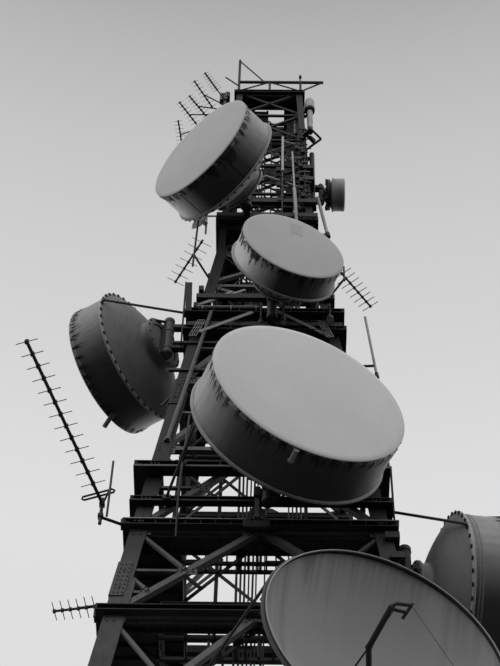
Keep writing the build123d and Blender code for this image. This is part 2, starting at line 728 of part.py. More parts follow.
# The open dish has a hooked feed pole that carries its horn
diameter, at, bearing, rise, shroud, mast, side, rails = antennas["open_dish"]
dish_place = aimed(at, bearing, rise)
vertex = shroud + DEPTH_SHARE * diameter
focus = vertex - FOCUS_SHARE * diameter
FEED_R = 17.0
FEED_BASE_R = 70.0
FEED_BASE_T = 18.0
hook = [
    (0, vertex - 14, 0),
    (0, vertex - 150, 0),
    (-30, focus + 120, 40),
    (-10, focus - 60, 70),
    (70, focus - 70, 50),
    (60, focus + 60, 10),
]
base_sag = DEPTH_SHARE * diameter * (2 * FEED_BASE_R / diameter) ** 2
base_at = Pos(0, vertex - base_sag - FIT_GAP - FEED_BASE_T / 2, 0) * Rot(90, 0, 0)
feed = base_at * extrude(RegularPolygon(FEED_BASE_R, 12), FEED_BASE_T / 2, both=True)
for a, b in zip(hook, hook[1:]):
    run = (Vector(*b) - Vector(*a)).normalized() * (FEED_R / 2)
    start = Vector(*a) - run
    end = Vector(*b) + run
    feed += rod((start.X, start.Y, start.Z), (end.X, end.Y, end.Z), FEED_R, 8)
feed += rod((60, focus + 40, 10), (60, focus + 90, 10), 30.0, 12)
save(dish_place * feed, "open_dish_feed")


# Small link drum on the right side near the top
link_r = SMALL_DRUM_D / 2
link_x = 766
link_y = -200
LINK_SHROUD = 118.0
LINK_BACK = 160.0
LINK_HUB_R = 62.0
LINK_HUB = 196.0
LINK_LIP = 9.0
LINK_LIP_WIDTH = 12.0
LINK_FACE = -6.0
LINK_COLLAR_T = 14.0
LINK_COLLAR_LIP = 14.0
LINK_COLLAR_LAND = 34.0
LINK_MAST_R = 24.0
LINK_MAST_HALF = 200.0
LINK_RAIL_AT = 130.0
link_outline = Polyline(
    (0, LINK_FACE),
    (link_r - 10, LINK_FACE),
    (link_r, LINK_FACE + 10),
    (link_r, LINK_SHROUD - LINK_LIP_WIDTH),
    (link_r + LINK_LIP, LINK_SHROUD - LINK_LIP_WIDTH),
    (link_r + LINK_LIP, LINK_SHROUD),
    (link_r, LINK_SHROUD),
    (LINK_HUB_R, LINK_BACK),
    (LINK_HUB_R, LINK_HUB),
    (0, LINK_HUB),
    close=True,
)
link_place = Pos(link_x, link_y, SMALL_DRUM_Z) * Rot(0, 0, 90)
save(link_place * spun(link_outline), "small_drum")
link_seat = LINK_HUB + FIT_GAP
link_mast_x = link_x - link_seat - 36
collar = Polyline(
    (LINK_HUB_R + LINK_COLLAR_LIP, link_seat),
    (LINK_HUB_R + LINK_COLLAR_LIP, link_seat + LINK_COLLAR_T),
    (LINK_HUB_R - LINK_COLLAR_LAND, link_seat + LINK_COLLAR_T),
    (LINK_HUB_R - LINK_COLLAR_LAND, link_seat),
    close=True,
)
small_mount = link_place * spun(collar)
small_mount += link_place * box(-26, 26, link_seat + 1, link_seat + 30, -LINK_HUB_R, LINK_HUB_R)
mast_foot = (link_mast_x, link_y, SMALL_DRUM_Z - LINK_MAST_HALF)
mast_head = (link_mast_x, link_y, SMALL_DRUM_Z + LINK_MAST_HALF)
small_mount += rod(mast_foot, mast_head, LINK_MAST_R, 8)
for z in (SMALL_DRUM_Z - LINK_RAIL_AT, SMALL_DRUM_Z + LINK_RAIL_AT):
    small_mount += rail(z, 1)
    small_mount += box(half(z) + RAIL_REACH - 2, link_mast_x, link_y - 22, link_y + 22, z - 18, z + 18)
save(small_mount, "small_drum_mount")


# Yagi antennas: a boom, thin directors across it and a folded dipole near the tail
def yagi(tail, head, count, length, bar_r, boom_r, dipole):
    start = Vector(*tail)
    run = Vector(*head) - start
    side = run.cross(Vector(0, 0, 1)).normalized()
    shape = rod(tail, head, boom_r)
    for i in range(count):
        share = (i + 1) / count
        share = DIRECTORS_FROM + DIRECTORS_SPAN * share if dipole else share - 0.5 / count
        at = start + run * share
        reach = side * (length / 2 * (1.0 - DIRECTOR_TAPER * share))
        a = at - reach
        b = at + reach
        shape += rod((a.X, a.Y, a.Z), (b.X, b.Y, b.Z), bar_r, 4)
    if dipole:
        at = start + run * DIPOLE_AT
        a = at - side * (length * DIPOLE_REACH)
        b = at + side * (length * DIPOLE_REACH)
        shape += rod((a.X, a.Y, a.Z), (b.X, b.Y, b.Z), bar_r * DIPOLE_R_SHARE)
    return shape


yagi_x = -half(PLATFORM_A_Z) - RING_OUT - FIT_GAP
yagi_z = PLATFORM_A_Z
LARGE_YAGI = ((-1155, -1059, 12950), (-1634, -2474, 12950))
POST_X = -1158
POST_Y = -1062
SPUR_X = -1090
SPUR_Y = -1240
LARGE_CLAMP_Y = -965
LARGE_CLAMP_HALF = 35
large = yagi(LARGE_YAGI[0], LARGE_YAGI[1], 13, 185.0, 3.0, 13.0, True)
large += box(
    yagi_x - 14,
    yagi_x,
    LARGE_CLAMP_Y - LARGE_CLAMP_HALF,
    LARGE_CLAMP_Y + LARGE_CLAMP_HALF,
    yagi_z - 26,
    yagi_z + 26,
)
large += rod((yagi_x - 7, LARGE_CLAMP_Y, yagi_z), (POST_X, POST_Y, yagi_z - 40), 12.0)
large += rod((POST_X, POST_Y, yagi_z - 120), (POST_X, POST_Y, yagi_z + 180), 14.0, 8)
large += rod((POST_X, POST_Y, yagi_z + 100), (SPUR_X, SPUR_Y, yagi_z + 60), 8.0)
large += rod((SPUR_X, SPUR_Y, yagi_z - 260), (SPUR_X, SPUR_Y, yagi_z + 400), 9.0, 8)
save(large, "large_yagi")

group_z = 20600.0
group_x = -470.0
GROUP_MAST_R = 16.0
GROUP_ARM_R = 13.0
GROUP_SPUR_R = 7.0
GROUP_FIRST_Z = 20400.0
GROUP_PITCH = 110.0
group = rod((group_x, group_x, 20280), (group_x, group_x, 20960), GROUP_MAST_R, 8)
for z in (20360.0, 20860.0):
    group += rail(z, 3)
    group += rod((group_x, group_x, z), (-half(z) - 20, -half(z) + 60, z), GROUP_ARM_R)
booms = (
    ((-910, -120), (-950, -450)),
    ((-740, -320), (-940, -610)),
    ((-660, -390), (-840, -630)),
    ((-600, -440), (-790, -750)),
    ((-550, -590), (-680, -790)),
)
for i, (tail, head) in enumerate(booms):
    z = GROUP_FIRST_Z + GROUP_PITCH * i
    group += yagi((tail[0], tail[1], z), (head[0], head[1], z), 4, 110.0, 2.5, 8.0, False)
    group += rod((group_x, group_x, z), ((tail[0] + head[0]) / 2, (tail[1] + head[1]) / 2, z), GROUP_SPUR_R)
save(group, "yagi_group")


def bracket_from_leg(sx, sy, z, end, reach):
    h = half(z)
    clamp = box(
        sx * (h - 20),
        sx * (h + CLAMP_T),
        sy * (h - TOP_LEG_WIDTH),
        sy * (h - 10),
        z - CLAMP_HALF,
        z + CLAMP_HALF,
    )
    clamp += rod((sx * (h + 11), sy * (h - 40), z), end, reach)
    return clamp - frustum(z - 80, z + 80, FIT_GAP)


left_z = 17200.0
left_pole_z = left_z - 40
left_yagi = yagi((-574, -848, left_z), (-789, -476, left_z), 4, 190.0, 3.5, 9.0, False)
left_yagi += rod((-660, -714, left_z - 240), (-640, -714, left_z + 590), POLE_R, 8)
left_yagi += bracket_from_leg(-1, -1, left_pole_z, (-655, -714, left_pole_z), POLE_R)
save(left_yagi, "left_yagi")

right_z = 16800.0
right_pole_z = right_z - 50
right_yagi = yagi((667, -760, right_z), (950, -396, right_z), 5, 190.0, 3.5, 9.0, False)
right_yagi += rod((700, -718, right_z - 80), (700, -718, right_z + 160), POLE_R, 8)
right_yagi += bracket_from_leg(1, -1, right_pole_z, (700, -718, right_pole_z), POLE_R)
save(right_yagi, "right_yagi")

low_z = PLATFORM_B_Z + 60
low_yagi = yagi((-1115, -1005, low_z + 60), (-1415, -956, low_z + 60), 4, 180.0, 3.5, 9.0, False)
low_x = -half(PLATFORM_B_Z) - RING_OUT - FIT_GAP
low_yagi += box(low_x - 12, low_x, -1040, -980, PLATFORM_B_Z - 26, PLATFORM_B_Z + 26)
low_yagi += rod((low_x - 10, -1010, PLATFORM_B_Z), (low_x - 10, -1010, low_z + 70), POLE_R)
save(low_yagi, "low_yagi")

# Whip antennas: a thin pole on a bracket, with a thicker glass fibre length above
whips = []
front_y = -half(PLATFORM_D_Z) - RING_D_OUT - FIT_GAP
whip_y = front_y - 30
WHIP_PLACES = ((143, 18160, 19160, 19900), (262, 17950, 18090, 19600))
WHIP_CLAMP_HALF = 24.0
WHIP_CLAMP_RISE = 20.0
for x, low, start, end in WHIP_PLACES:
    clamp_low = PLATFORM_D_Z - WHIP_CLAMP_RISE
    clamp_high = PLATFORM_D_Z + WHIP_CLAMP_RISE
    pole = box(x - WHIP_CLAMP_HALF, x + WHIP_CLAMP_HALF, whip_y, front_y, clamp_low, clamp_high)
    pole += rod((x, whip_y, low), (x, whip_y, end), WHIP_R * 0.7, 8)
    pole += rod((x, whip_y, start), (x, whip_y, end), WHIP_R, 8)
    whips.append(pole)
side_face = half(RING_C_LOW_Z) + RING_C_LOW_OUT + FIT_GAP
pole_y = -300
LEANING_FOOT = (976, pole_y, 15790)
LEANING_HEAD = (899, pole_y, 16780)
LEANING_R = 13.0
LEANING_ARM_R = 12.0
low = RING_C_LOW_Z - LOW_PAD_HALF
high = RING_C_LOW_Z + LOW_PAD_HALF
pole = box(side_face, side_face + CLAMP_T, pole_y - PAD_HALF, pole_y + PAD_HALF, low, high)
pole += rod((side_face + 5, pole_y, RING_C_LOW_Z), (960, pole_y, RING_C_LOW_Z + 20), LEANING_ARM_R)
pole += rod(LEANING_FOOT, LEANING_HEAD, LEANING_R, 8)
whips.append(pole)
save(Compound(children=whips), "whip_antennas")

# Small horn antenna on the right, level with the upper shaft
HORN_POLE_R = 22.0
HORN_HEAD_R = 40.0
HORN_DROP = 390.0
HORN_RISE = 330.0
HORN_HEAD_LENGTH = 120.0
HORN_ARM_HALF = 15.0
HORN_CLAMP_Y = -310.0
HORN_CLAMP_HALF = 40.0
HORN_CLAMP_RISE = 60.0
horn_z = 20900.0
horn_x = half(horn_z) + 100
horn_y = -305
clamp_low = horn_z - HORN_CLAMP_RISE
clamp_high = horn_z + HORN_CLAMP_RISE
clamp_y0 = HORN_CLAMP_Y - HORN_CLAMP_HALF
clamp_y1 = HORN_CLAMP_Y + HORN_CLAMP_HALF
arm_y0 = horn_y - HORN_ARM_HALF
arm_y1 = horn_y + HORN_ARM_HALF
head_z = horn_z + HORN_RISE - 10
horn = box(half(horn_z) - 20, half(horn_z) + CLAMP_T, clamp_y0, clamp_y1, clamp_low, clamp_high)
horn -= frustum(horn_z - 100, horn_z + 100, FIT_GAP)
horn += box(half(horn_z) + 6, horn_x + 10, arm_y0, arm_y1, horn_z - HORN_ARM_HALF, horn_z + HORN_ARM_HALF)
horn += rod((horn_x, horn_y, horn_z - HORN_DROP), (horn_x, horn_y, horn_z + HORN_RISE), HORN_POLE_R, 12)
horn += rod((horn_x, horn_y, head_z), (horn_x, horn_y, head_z + HORN_HEAD_LENGTH), HORN_HEAD_R, 12)
save(horn, "side_horn")

# Small open dish low on the left of the first drum, on its own pole
DISH_WALL = 6.0
DISH_DEPTH = 46.0
DISH_HUB_R = 22.0
DISH_HUB_LENGTH = 40.0
DISH_FEED_R = 6.0
DISH_FEED_LENGTH = 70.0
DISH_CLAMP_RISE = 160.0
DISH_POLE_DROP = 180.0
small_r = SMALL_DISH_D / 2
dish_outline = (
    parabola(small_r, DISH_DEPTH + DISH_WALL, 0)
    + Line((small_r, 0), (small_r - DISH_WALL, 0))
    + parabola(small_r - DISH_WALL, DISH_DEPTH, 0)
    + Line((0, DISH_DEPTH), (0, DISH_DEPTH + DISH_WALL))
)
small_dish = spun(dish_outline)
hub_at = Pos(0, DISH_DEPTH + DISH_WALL - 2, 0) * Rot(-90, 0, 0)
small_dish += hub_at * extrude(Circle(DISH_HUB_R), DISH_HUB_LENGTH)
small_dish += Pos(0, DISH_DEPTH + 1, 0) * Rot(90, 0, 0) * extrude(Circle(DISH_FEED_R), DISH_FEED_LENGTH)
dish_at = aimed((-652, -452, SMALL_DISH_Z), -140.0, 0.0)
small_dish = dish_at * small_dish
pole_at = (dish_at * Pos(0, DISH_DEPTH + DISH_HUB_LENGTH, 0)).position
clamp_z = SMALL_DISH_Z + DISH_CLAMP_RISE
pole_foot = (pole_at.X, pole_at.Y, SMALL_DISH_Z - DISH_POLE_DROP)
small_dish += rod(pole_foot, (pole_at.X, pole_at.Y, clamp_z + 40), POLE_R, 8)
small_dish += bracket_from_leg(-1, -1, clamp_z, (pole_at.X, pole_at.Y, clamp_z), POLE_R)
save(small_dish, "small_dish")

# Bracket frame on the right of the upper shaft
frame_low = 19950.0
frame_high = 20230.0
out_x = 590
out_y = -500
FRAME_ARM_R = 9.0
FRAME_CROSS_R = 6.0
side_frame = bracket_from_leg(1, -1, frame_low, (out_x, out_y, frame_low), FRAME_ARM_R)
side_frame += bracket_from_leg(1, -1, frame_high, (out_x, out_y, frame_high), FRAME_ARM_R)
side_frame += rod((out_x, out_y, frame_low - 70), (out_x, out_y, frame_high + 90), FRAME_ARM_R)
inner = half(frame_low) + 40
side_frame += rod((inner, -inner + 20, frame_low), (out_x, out_y, frame_high), FRAME_CROSS_R)
side_frame += rod((inner, -inner + 20, frame_high), (out_x, out_y, frame_low), FRAME_CROSS_R)
save(side_frame, "side_frame")

# Upright plates at the outer corners of the ring beams
PLATE_T = 12.0
PLATE_W = 50.0
right_face = half(DRUM_BEAM_LOW_Z) + DRUM_BEAM_LOW_OUT + FIT_GAP
right_plate = box(
    right_face,
    right_face + PLATE_T,
    -right_face + 15,
    -right_face + 15 + PLATE_W,
    PLATFORM_A_Z + 50,
    DRUM_BEAM_HIGH_Z + 10,
)
left_face = -half(RING_C_LOW_Z) - RING_C_LOW_OUT - FIT_GAP
left_plate = box(
    left_face - PLATE_T,
    left_face,
    left_face + 10,
    left_face + 10 + PLATE_W,
    RING_C_LOW_Z - 240,
    PLATFORM_C_Z + 460,
)
save(Compound(children=[right_plate, left_plate]), "corner_plates")

# Floodlights hung in front of the ring beam of the third walkway
LAMP_LENGTH = 90.0
LAMP_DROP = 80.0
LAMP_NECK_R = 16.0
LAMP_MOUTH_R = 44.0
LAMP_TILT = 25.0
LAMP_STEM_R = 8.0
LAMP_PLACES = (-45, 156, 563)
lamps = []
lamp_face = -half(PLATFORM_C_Z) - RING_C_OUT - FIT_GAP
lamp_y = lamp_face - LAMP_MOUTH_R
for x in LAMP_PLACES:
    low_edge = PLATFORM_C_Z - RING_DEPTH / 2
    hanger = box(x - 12, x + 12, lamp_y - 6, lamp_face, low_edge, PLATFORM_C_Z + RING_DEPTH / 2)
    hanger += rod((x, lamp_y, PLATFORM_C_Z), (x, lamp_y, PLATFORM_C_Z - LAMP_DROP - 10), LAMP_STEM_R)
    shade = Polyline((0, 0), (LAMP_NECK_R, 0), (LAMP_MOUTH_R, LAMP_LENGTH), (0, LAMP_LENGTH), close=True)
    hood = Pos(x, lamp_y, PLATFORM_C_Z - LAMP_DROP) * Rot(-90 - LAMP_TILT, 0, 0) * spun(shade)
    lamps.append(hanger + hood)
save(Compound(children=lamps), "floodlights")
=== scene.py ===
import bpy
import math
import random
from collections import namedtuple
from itertools import product
from mathutils import Matrix, Vector


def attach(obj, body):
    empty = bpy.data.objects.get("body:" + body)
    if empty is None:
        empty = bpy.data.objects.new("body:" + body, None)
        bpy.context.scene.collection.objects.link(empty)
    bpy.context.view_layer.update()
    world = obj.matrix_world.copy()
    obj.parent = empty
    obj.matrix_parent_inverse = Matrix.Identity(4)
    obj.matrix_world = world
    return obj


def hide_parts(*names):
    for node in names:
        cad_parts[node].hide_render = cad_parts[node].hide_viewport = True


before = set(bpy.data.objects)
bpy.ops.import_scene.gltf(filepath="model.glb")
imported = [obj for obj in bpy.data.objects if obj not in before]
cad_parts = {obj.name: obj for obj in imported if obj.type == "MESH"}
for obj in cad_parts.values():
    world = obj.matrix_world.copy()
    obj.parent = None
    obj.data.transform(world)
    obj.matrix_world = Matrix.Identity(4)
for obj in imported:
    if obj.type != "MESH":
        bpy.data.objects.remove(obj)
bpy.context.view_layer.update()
random.seed(7)
V = Vector
RIGHT, BACK, UP = V((1, 0, 0)), V((0, 1, 0)), V((0, 0, 1))
WORLD = Matrix()
TAU = 2 * math.pi

# Tower outline in metres, to the outside corners of the legs
FOOT_W, BEND_W, TOP_W = 4.43, 0.92, 0.70
BEND_Z, TOP_Z = 17.72, 21.34
LEG_T, LEG_SEAT = 0.012, 0.034
Z_B, Z_A, Z_C, Z_D = 11.74, 12.83, 16.26, 18.26
Z_DRUM_LOW, Z_DRUM_HIGH, Z_C_LOW = 13.15, 13.59, 15.96
BODY_LEVELS = (0.234, 3.1, 5.85, 8.2, 10.2, Z_B, Z_A, 14.0, 15.15, Z_C)
X_LEVELS = (Z_C, 17.0, BEND_Z)
TOP_LEVELS = (BEND_Z, Z_D, 18.9, 19.52, 20.13, 20.74, TOP_Z)
JOINTS = BODY_LEVELS[1:] + X_LEVELS[1:2]


def half(z):
    """Half of the tower's width at a height."""
    if z <= BEND_Z:
        return FOOT_W / 2 + (BEND_W - FOOT_W) / 2 * z / BEND_Z
    return BEND_W / 2 + (TOP_W - BEND_W) / 2 * (z - BEND_Z) / (TOP_Z - BEND_Z)


def edge(z):
    """How far from the middle of a side the bracing meets the leg."""
    return half(z) - LEG_T - LEG_SEAT


# Material nodes
def put(socket, value):
    """Links a value to an input, or sets the input to a plain number."""
    if isinstance(value, Value):
        socket.id_data.links.new(value.socket, socket)
    elif value is not None:
        socket.default_value = (value, value, value, 1) if socket.type == "RGBA" else value


def operation(name):
    """A method that works out a value from this one and, for most, another."""
    def method(self, other=None):
        node = self.node("Math")
        node.operation = name
        put(node.inputs[0], self)
        put(node.inputs[1], other)
        return Value(node.outputs[0])
    return method


class Value:
    """The output of a node, with the sums that the looks are made of."""
    __add__, __sub__ = operation("ADD"), operation("SUBTRACT")
    __mul__, __truediv__ = operation("MULTIPLY"), operation("DIVIDE")
    __abs__, fract = operation("ABSOLUTE"), operation("FRACT")
    at_least, at_most = operation("MAXIMUM"), operation("MINIMUM")

    def __init__(self, socket):
        self.socket = socket

    def node(self, kind):
        return self.socket.id_data.nodes.new("ShaderNode" + kind)

    def __rsub__(self, other):
        return self * -1.0 + other

    def mask(self, high):
        return self.at_least(0.0).at_most(high)

    def axes(self):
        node = self.node("SeparateXYZ")
        put(node.inputs[0], self)
        return [Value(s) for s in node.outputs]

    def noise(self, scale, detail=6.0, rough=0.6):
        node = self.node("TexNoise")
        for key, value in (("Vector", self), ("Scale", scale), ("Detail", detail), ("Roughness", rough)):
            put(node.inputs[key], value)
        return Value(node.outputs["Fac"])

    def ramp(self, *stops):
        node = self.node("ValToRGB")
        points = node.color_ramp.elements
        while len(points) < len(stops):
            points.new(0.5)
        for point, (at, tone) in zip(points, stops):
            point.position = at
            point.color = (tone, tone, tone, 1)
        put(node.inputs[0], self)
        return Value(node.outputs[0])


class Paint:
    """A material in the making; self.tone is the grey laid on so far."""

    def __init__(self, name):
        self.mat = bpy.data.materials.new(name)
        self.mat.use_nodes = True
        self.nodes = self.mat.node_tree.nodes
        self.nodes.clear()
        self.bsdf = self.nodes.new("ShaderNodeBsdfPrincipled")
        out = self.nodes.new("ShaderNodeOutputMaterial")
        put(out.inputs[0], Value(self.bsdf.outputs[0]))

    def coords(self, scale=(1, 1, 1), kind="Object", heading=None):
        """heading: stretches by the scale along axes turned by this angle, instead of squeezing."""
        node = self.nodes.new("ShaderNodeMapping")
        node.inputs["Scale"].default_value = scale
        if heading is not None:
            node.vector_type = "TEXTURE"
            node.inputs["Rotation"].default_value = (0, 0, heading)
        put(node.inputs["Vector"], Value(self.nodes.new("ShaderNodeTexCoord").outputs[kind]))
        return Value(node.outputs[0])

    def lay(self, share, tone):
        """Mixes a tone over what is there."""
        node = share.node("Mix")
        node.data_type = "RGBA"
        for i, value in ((0, share), (6, self.tone), (7, tone)):
            put(node.inputs[i], value)
        self.tone = Value(node.outputs[2])

    def grime_and_shade_below(self, amount, soot_and_shade, start=0.1, end=0.9):
        """Darkens faces that look down: partly soot and algae, partly painted shade."""
        geometry = self.nodes.new("ShaderNodeNewGeometry")
        down = Value(geometry.outputs["Normal"]).axes()[2] * -1.0
        self.lay(((down - start) / (end - start)).ramp((0.0, 0.0), (1.0, amount)), soot_and_shade)

    def finish(self, rough, metal, height, strength, distance):
        """Sets the surface and its fine relief."""
        relief = self.nodes.new("ShaderNodeBump")
        for key, value in (("Strength", strength), ("Distance", distance), ("Height", height)):
            put(relief.inputs[key], value)
        put(self.bsdf.inputs["Normal"], Value(relief.outputs[0]))
        put(self.bsdf.inputs["Base Color"], self.tone)
        for key, value in (("Roughness", rough), ("Metallic", metal), ("Specular IOR Level", 0.3)):
            put(self.bsdf.inputs[key], value)
        return self.mat


# Height above which the legs get painted shade
ALOFT_Z = 12.4


def steel(name, dark, light, stain=0.5, rough=0.62, metal=0.1, soot_and_shade=0.55, aloft=1.0):
    """Weathered steel. aloft: how much of its lightness it keeps above the second walkway; the rest is
    painted shade.
    """
    look = Paint(name)
    here = look.coords()
    broad = here.noise(2.2, 7.0, 0.62)
    look.tone = broad.ramp((0.32, dark), (0.68, light))
    runs = look.coords((34, 34, 1.6)).noise(1.0, 5.0)
    look.lay(runs.ramp((0.5, 0.0), (0.74, stain)), dark * 0.4)
    specks = here.noise(55.0, 4.0, 0.7)
    look.lay((specks * broad).ramp((0.33, 0.0), (0.43, 0.75)), dark * 0.45)
    # Undersides darkened: partly soot, partly painted shade
    look.grime_and_shade_below(soot_and_shade, dark * 0.3)
    # Painted shade: above the second walkway the steel is darkened towards near black
    if aloft < 1.0:
        shade_above = here.axes()[2] - ALOFT_Z
        look.lay(shade_above.ramp((0.0, 0.0), (1.0, 1.0 - aloft)), 0.006)
    return look.finish(rough, metal, specks, 0.35, 0.003)


def paint(name, base, spread=0.12, scale=6.0, rough=0.6, metal=0.0, fine=60.0, drip=0.0, soot_and_shade=0.0):
    """Plain coat. spread: how far its tone varies; drip: how strong the upright runs are."""
    look = Paint(name)
    here = look.coords()
    cloud = here.noise(scale, 7.0, 0.62)
    look.tone = cloud.ramp((0.3, base * (1 - spread)), (0.7, base * (1 + spread / 2)))
    if drip:
        runs = look.coords((26, 26, 1.1)).noise(1.0, 6.0, 0.62)
        look.lay(runs.ramp((0.48, 0.0), (0.8, drip)), base * 0.35)
    grain = here.noise(fine, 4.0, 0.65)
    look.lay(grain.ramp((0.6, 0.0), (0.75, 0.3)), base * 0.5)
    # Undersides darkened: partly soot, partly painted shade
    if soot_and_shade:
        look.grime_and_shade_below(soot_and_shade, base * 0.12)
    return look.finish(rough, metal, grain, 0.15, 0.002)


def shroud_paint(name, base, marks, spike, blotch, painted_light=None):
    """Drum side. UV: u runs once round, v runs back from the front edge in metres.
    marks, spike: number and length of the forked runs. blotch: how much dirt. The last argument, when given,
    paints light: a paler stretch along the side where light falls, as its middle in u, its reach and its
    tone."""
    look = Paint(name)
    u, v, _ = look.coords(kind="UV").axes()
    here = look.coords()
    cloud = here.noise(3.0, 8.0, 0.62)
    look.tone = cloud.ramp((0.3, base * 0.75), (0.64, base))
    runs = look.coords((90, 2.0, 1), "UV").noise(1.0, 6.0, 0.62)
    look.lay(runs.ramp((0.45, 0.0), (0.75, 0.55)), base * 0.45)
    grime = here.noise(9.0, 6.0, 0.7)
    look.lay(grime.ramp((0.56, 0.0), (0.78, 0.3)), base * 0.3)
    # Painted shade, partly soot: the underside of the drum side goes almost black
    look.grime_and_shade_below(0.93, base * 0.05, 0.15, 0.78)
    # Painted light: a paler stretch along the side where light falls
    if painted_light:
        middle, reach, tone = painted_light
        pale = (1.0 - abs(u - middle) / reach) * (cloud + 0.5)
        look.lay(pale.mask(0.9), tone)
    # Flaked paint leaves a bare light edge at the rim
    flake = look.coords((230, 60, 1), "UV").noise(1.0, 4.0, 0.7)
    bare = (flake - (v * 3.0 + 0.5)) * 10.0
    look.lay(bare.mask(0.6), 0.5)
    # Forked dark runs behind each rim hook: two prongs whose length differs from hook to hook
    wander = (look.coords((60, 9, 1), "UV").noise(1.0, 3.0) - 0.5) * 0.5
    saw = (u * marks + wander).fract()
    prong = abs(abs(saw - 0.5) - (v + 0.05))
    cell = look.coords((marks * 1.3, 0.5, 1), "UV").noise(1.0, 2.0)
    reach = ((cell - 0.25) * spike).at_least(0.012)
    width = (1.0 - v / reach) * 0.14
    fork = (width - prong) * 18.0
    # Ragged dirt in groups, thickest at the rim
    patches = look.coords((170, 12, 1), "UV").noise(1.0, 5.0, 0.68)
    groups = look.coords((22, 1.0, 1), "UV").noise(1.0, 2.0, 0.5)
    grouped = ((groups - 0.52) * 2.2 + 0.5).at_most(0.68)
    near = patches + grouped - v * 2.3
    ragged = (near - (1.0 - blotch)) * 14.0
    look.lay(fork.at_least(ragged).mask(0.97), 0.005)
    return look.finish(0.6, 0.0, grime, 0.12, 0.004)


def dish_paint(name, base, bearing):
    """Inside of the open dish: soft upright stains that hang from the upper rim and fade out below it."""
    stripes, stain_at = 26, -0.54
    look = Paint(name)
    v = look.coords(kind="UV").axes()[1]
    here = look.coords()
    look.tone = here.noise(1.2, 3.0, 0.5).ramp((0.3, base * 0.9), (0.7, base * 1.1))
    across = look.coords((1 / stripes, 1e4, 3.0), heading=math.radians(bearing + 90))
    drip = across.noise(1.0, 5.0, 0.65)
    reach = ((across.noise(0.31, 1.0, 0.5) - 0.3) * 1.6).at_least(0.05)
    top = (1.0 - v / reach).at_least(0.1)
    streaks = (drip - 0.42) * 2.2 * top
    # One heavier stain below the upper left rim
    off = abs(across.axes()[0] - (drip * 1.5 + stain_at * stripes))
    heavy = 1.0 - v * 4.2 - off * 0.55
    look.lay(streaks.at_least(heavy).mask(0.6), base * 0.3)
    spots = here.noise(24.0, 1.0, 0.4)
    look.lay(spots.ramp((0.77, 0.0), (0.81, 0.5)), base * 0.3)
    return look.finish(0.55, 0.0, here.noise(40.0), 0.08, 0.002)


M_LEG = steel("leg_steel", 0.034, 0.085, 0.6, aloft=0.12)
M_BRACE = steel("brace_steel", 0.065, 0.14, 0.45)
M_RING = steel("ring_steel", 0.022, 0.05, 0.6, soot_and_shade=0.4)
# Near-black copy of the tower steel for the upper shaft, ring beams and inner members: partly dark paint,
# partly painted shade
M_SHAFT = steel("shaft_steel", 0.008, 0.022, 0.6, soot_and_shade=0.3)
M_DECK = steel("deck_steel", 0.03, 0.06, 0.6, rough=0.8, soot_and_shade=0.3)
M_MOUNT = steel("mount_steel", 0.02, 0.05, 0.6)
M_BOLT = steel("bolt_steel", 0.022, 0.05, rough=0.6, metal=0.2)
M_PALE = steel("pale_steel", 0.2, 0.36, 0.4, rough=0.55, soot_and_shade=0.3)
M_SHROUD = {
    "forked": shroud_paint("shroud_forked", 0.42, 36.0, 0.62, -0.45),
    # Paints two and three carry painted light: a paler stretch along one side
    "ragged": shroud_paint("shroud_ragged_lit", 0.42, 40.0, 0.4, 0.15, (0.59, 0.13, 0.95)),
    "lit_side": shroud_paint("shroud_lit_side", 0.32, 40.0, 0.5, -0.2, (0.59, 0.09, 0.9)),
    "dark": shroud_paint("shroud_dark", 0.32, 40.0, 0.5, -0.2),
}
# The first of these two is a darker copy of the second: painted shade on the backs of drums 3 to 5
M_BACK_SHADED = paint("drum_back_shaded", 0.2, 0.22, 2.6, fine=30.0, drip=0.4, soot_and_shade=0.6)
M_BACK_PALE = paint("drum_back_pale", 0.36, 0.22, 2.6, fine=30.0, drip=0.4, soot_and_shade=0.45)
M_FLANGE = paint("flange_paint", 0.4, 0.25, 7.0, drip=0.3, soot_and_shade=0.6)
M_RADOME = paint("radome_skin", 0.62, 0.06, 1.6, rough=0.65, fine=40.0, drip=0.03)
M_RADOME_WORN = paint("radome_worn", 0.47, 0.08, 1.8, rough=0.65, fine=40.0, drip=0.05)
M_PATCH = paint("patch_skin", 0.4, 0.06, 3.0, rough=0.65)
M_DISH = dish_paint("dish_inside", 0.25, -67.6)
M_DISH_WALL = paint("dish_wall", 0.06, 0.2)
M_RIM = paint("rim_bead", 0.36, 0.15, 9.0, rough=0.55, drip=0.2)
M_ALU = paint("yagi_metal", 0.035, 0.3, 9.0, rough=0.5, metal=0.3)
M_WHIP = paint("whip_glassfibre", 0.4, 0.2, 7.0, rough=0.5, fine=50.0, drip=0.5)
M_CABLE = paint("cable_sheath", 0.012, 0.3, 12.0, rough=0.55)
M_STONE = paint("concrete", 0.34, 0.25, 5.0, rough=0.9, fine=70.0, drip=0.35)
M_LAMP = paint("lamp_glass", 0.3, 0.2, 8.0, rough=0.35)
# Sealant for joints, and near-black painted shade for the flange slots
M_SEAM_AND_SLOT_SHADE = paint("seam_sealant_and_slot_shade", 0.008, 0.2, 20.0)

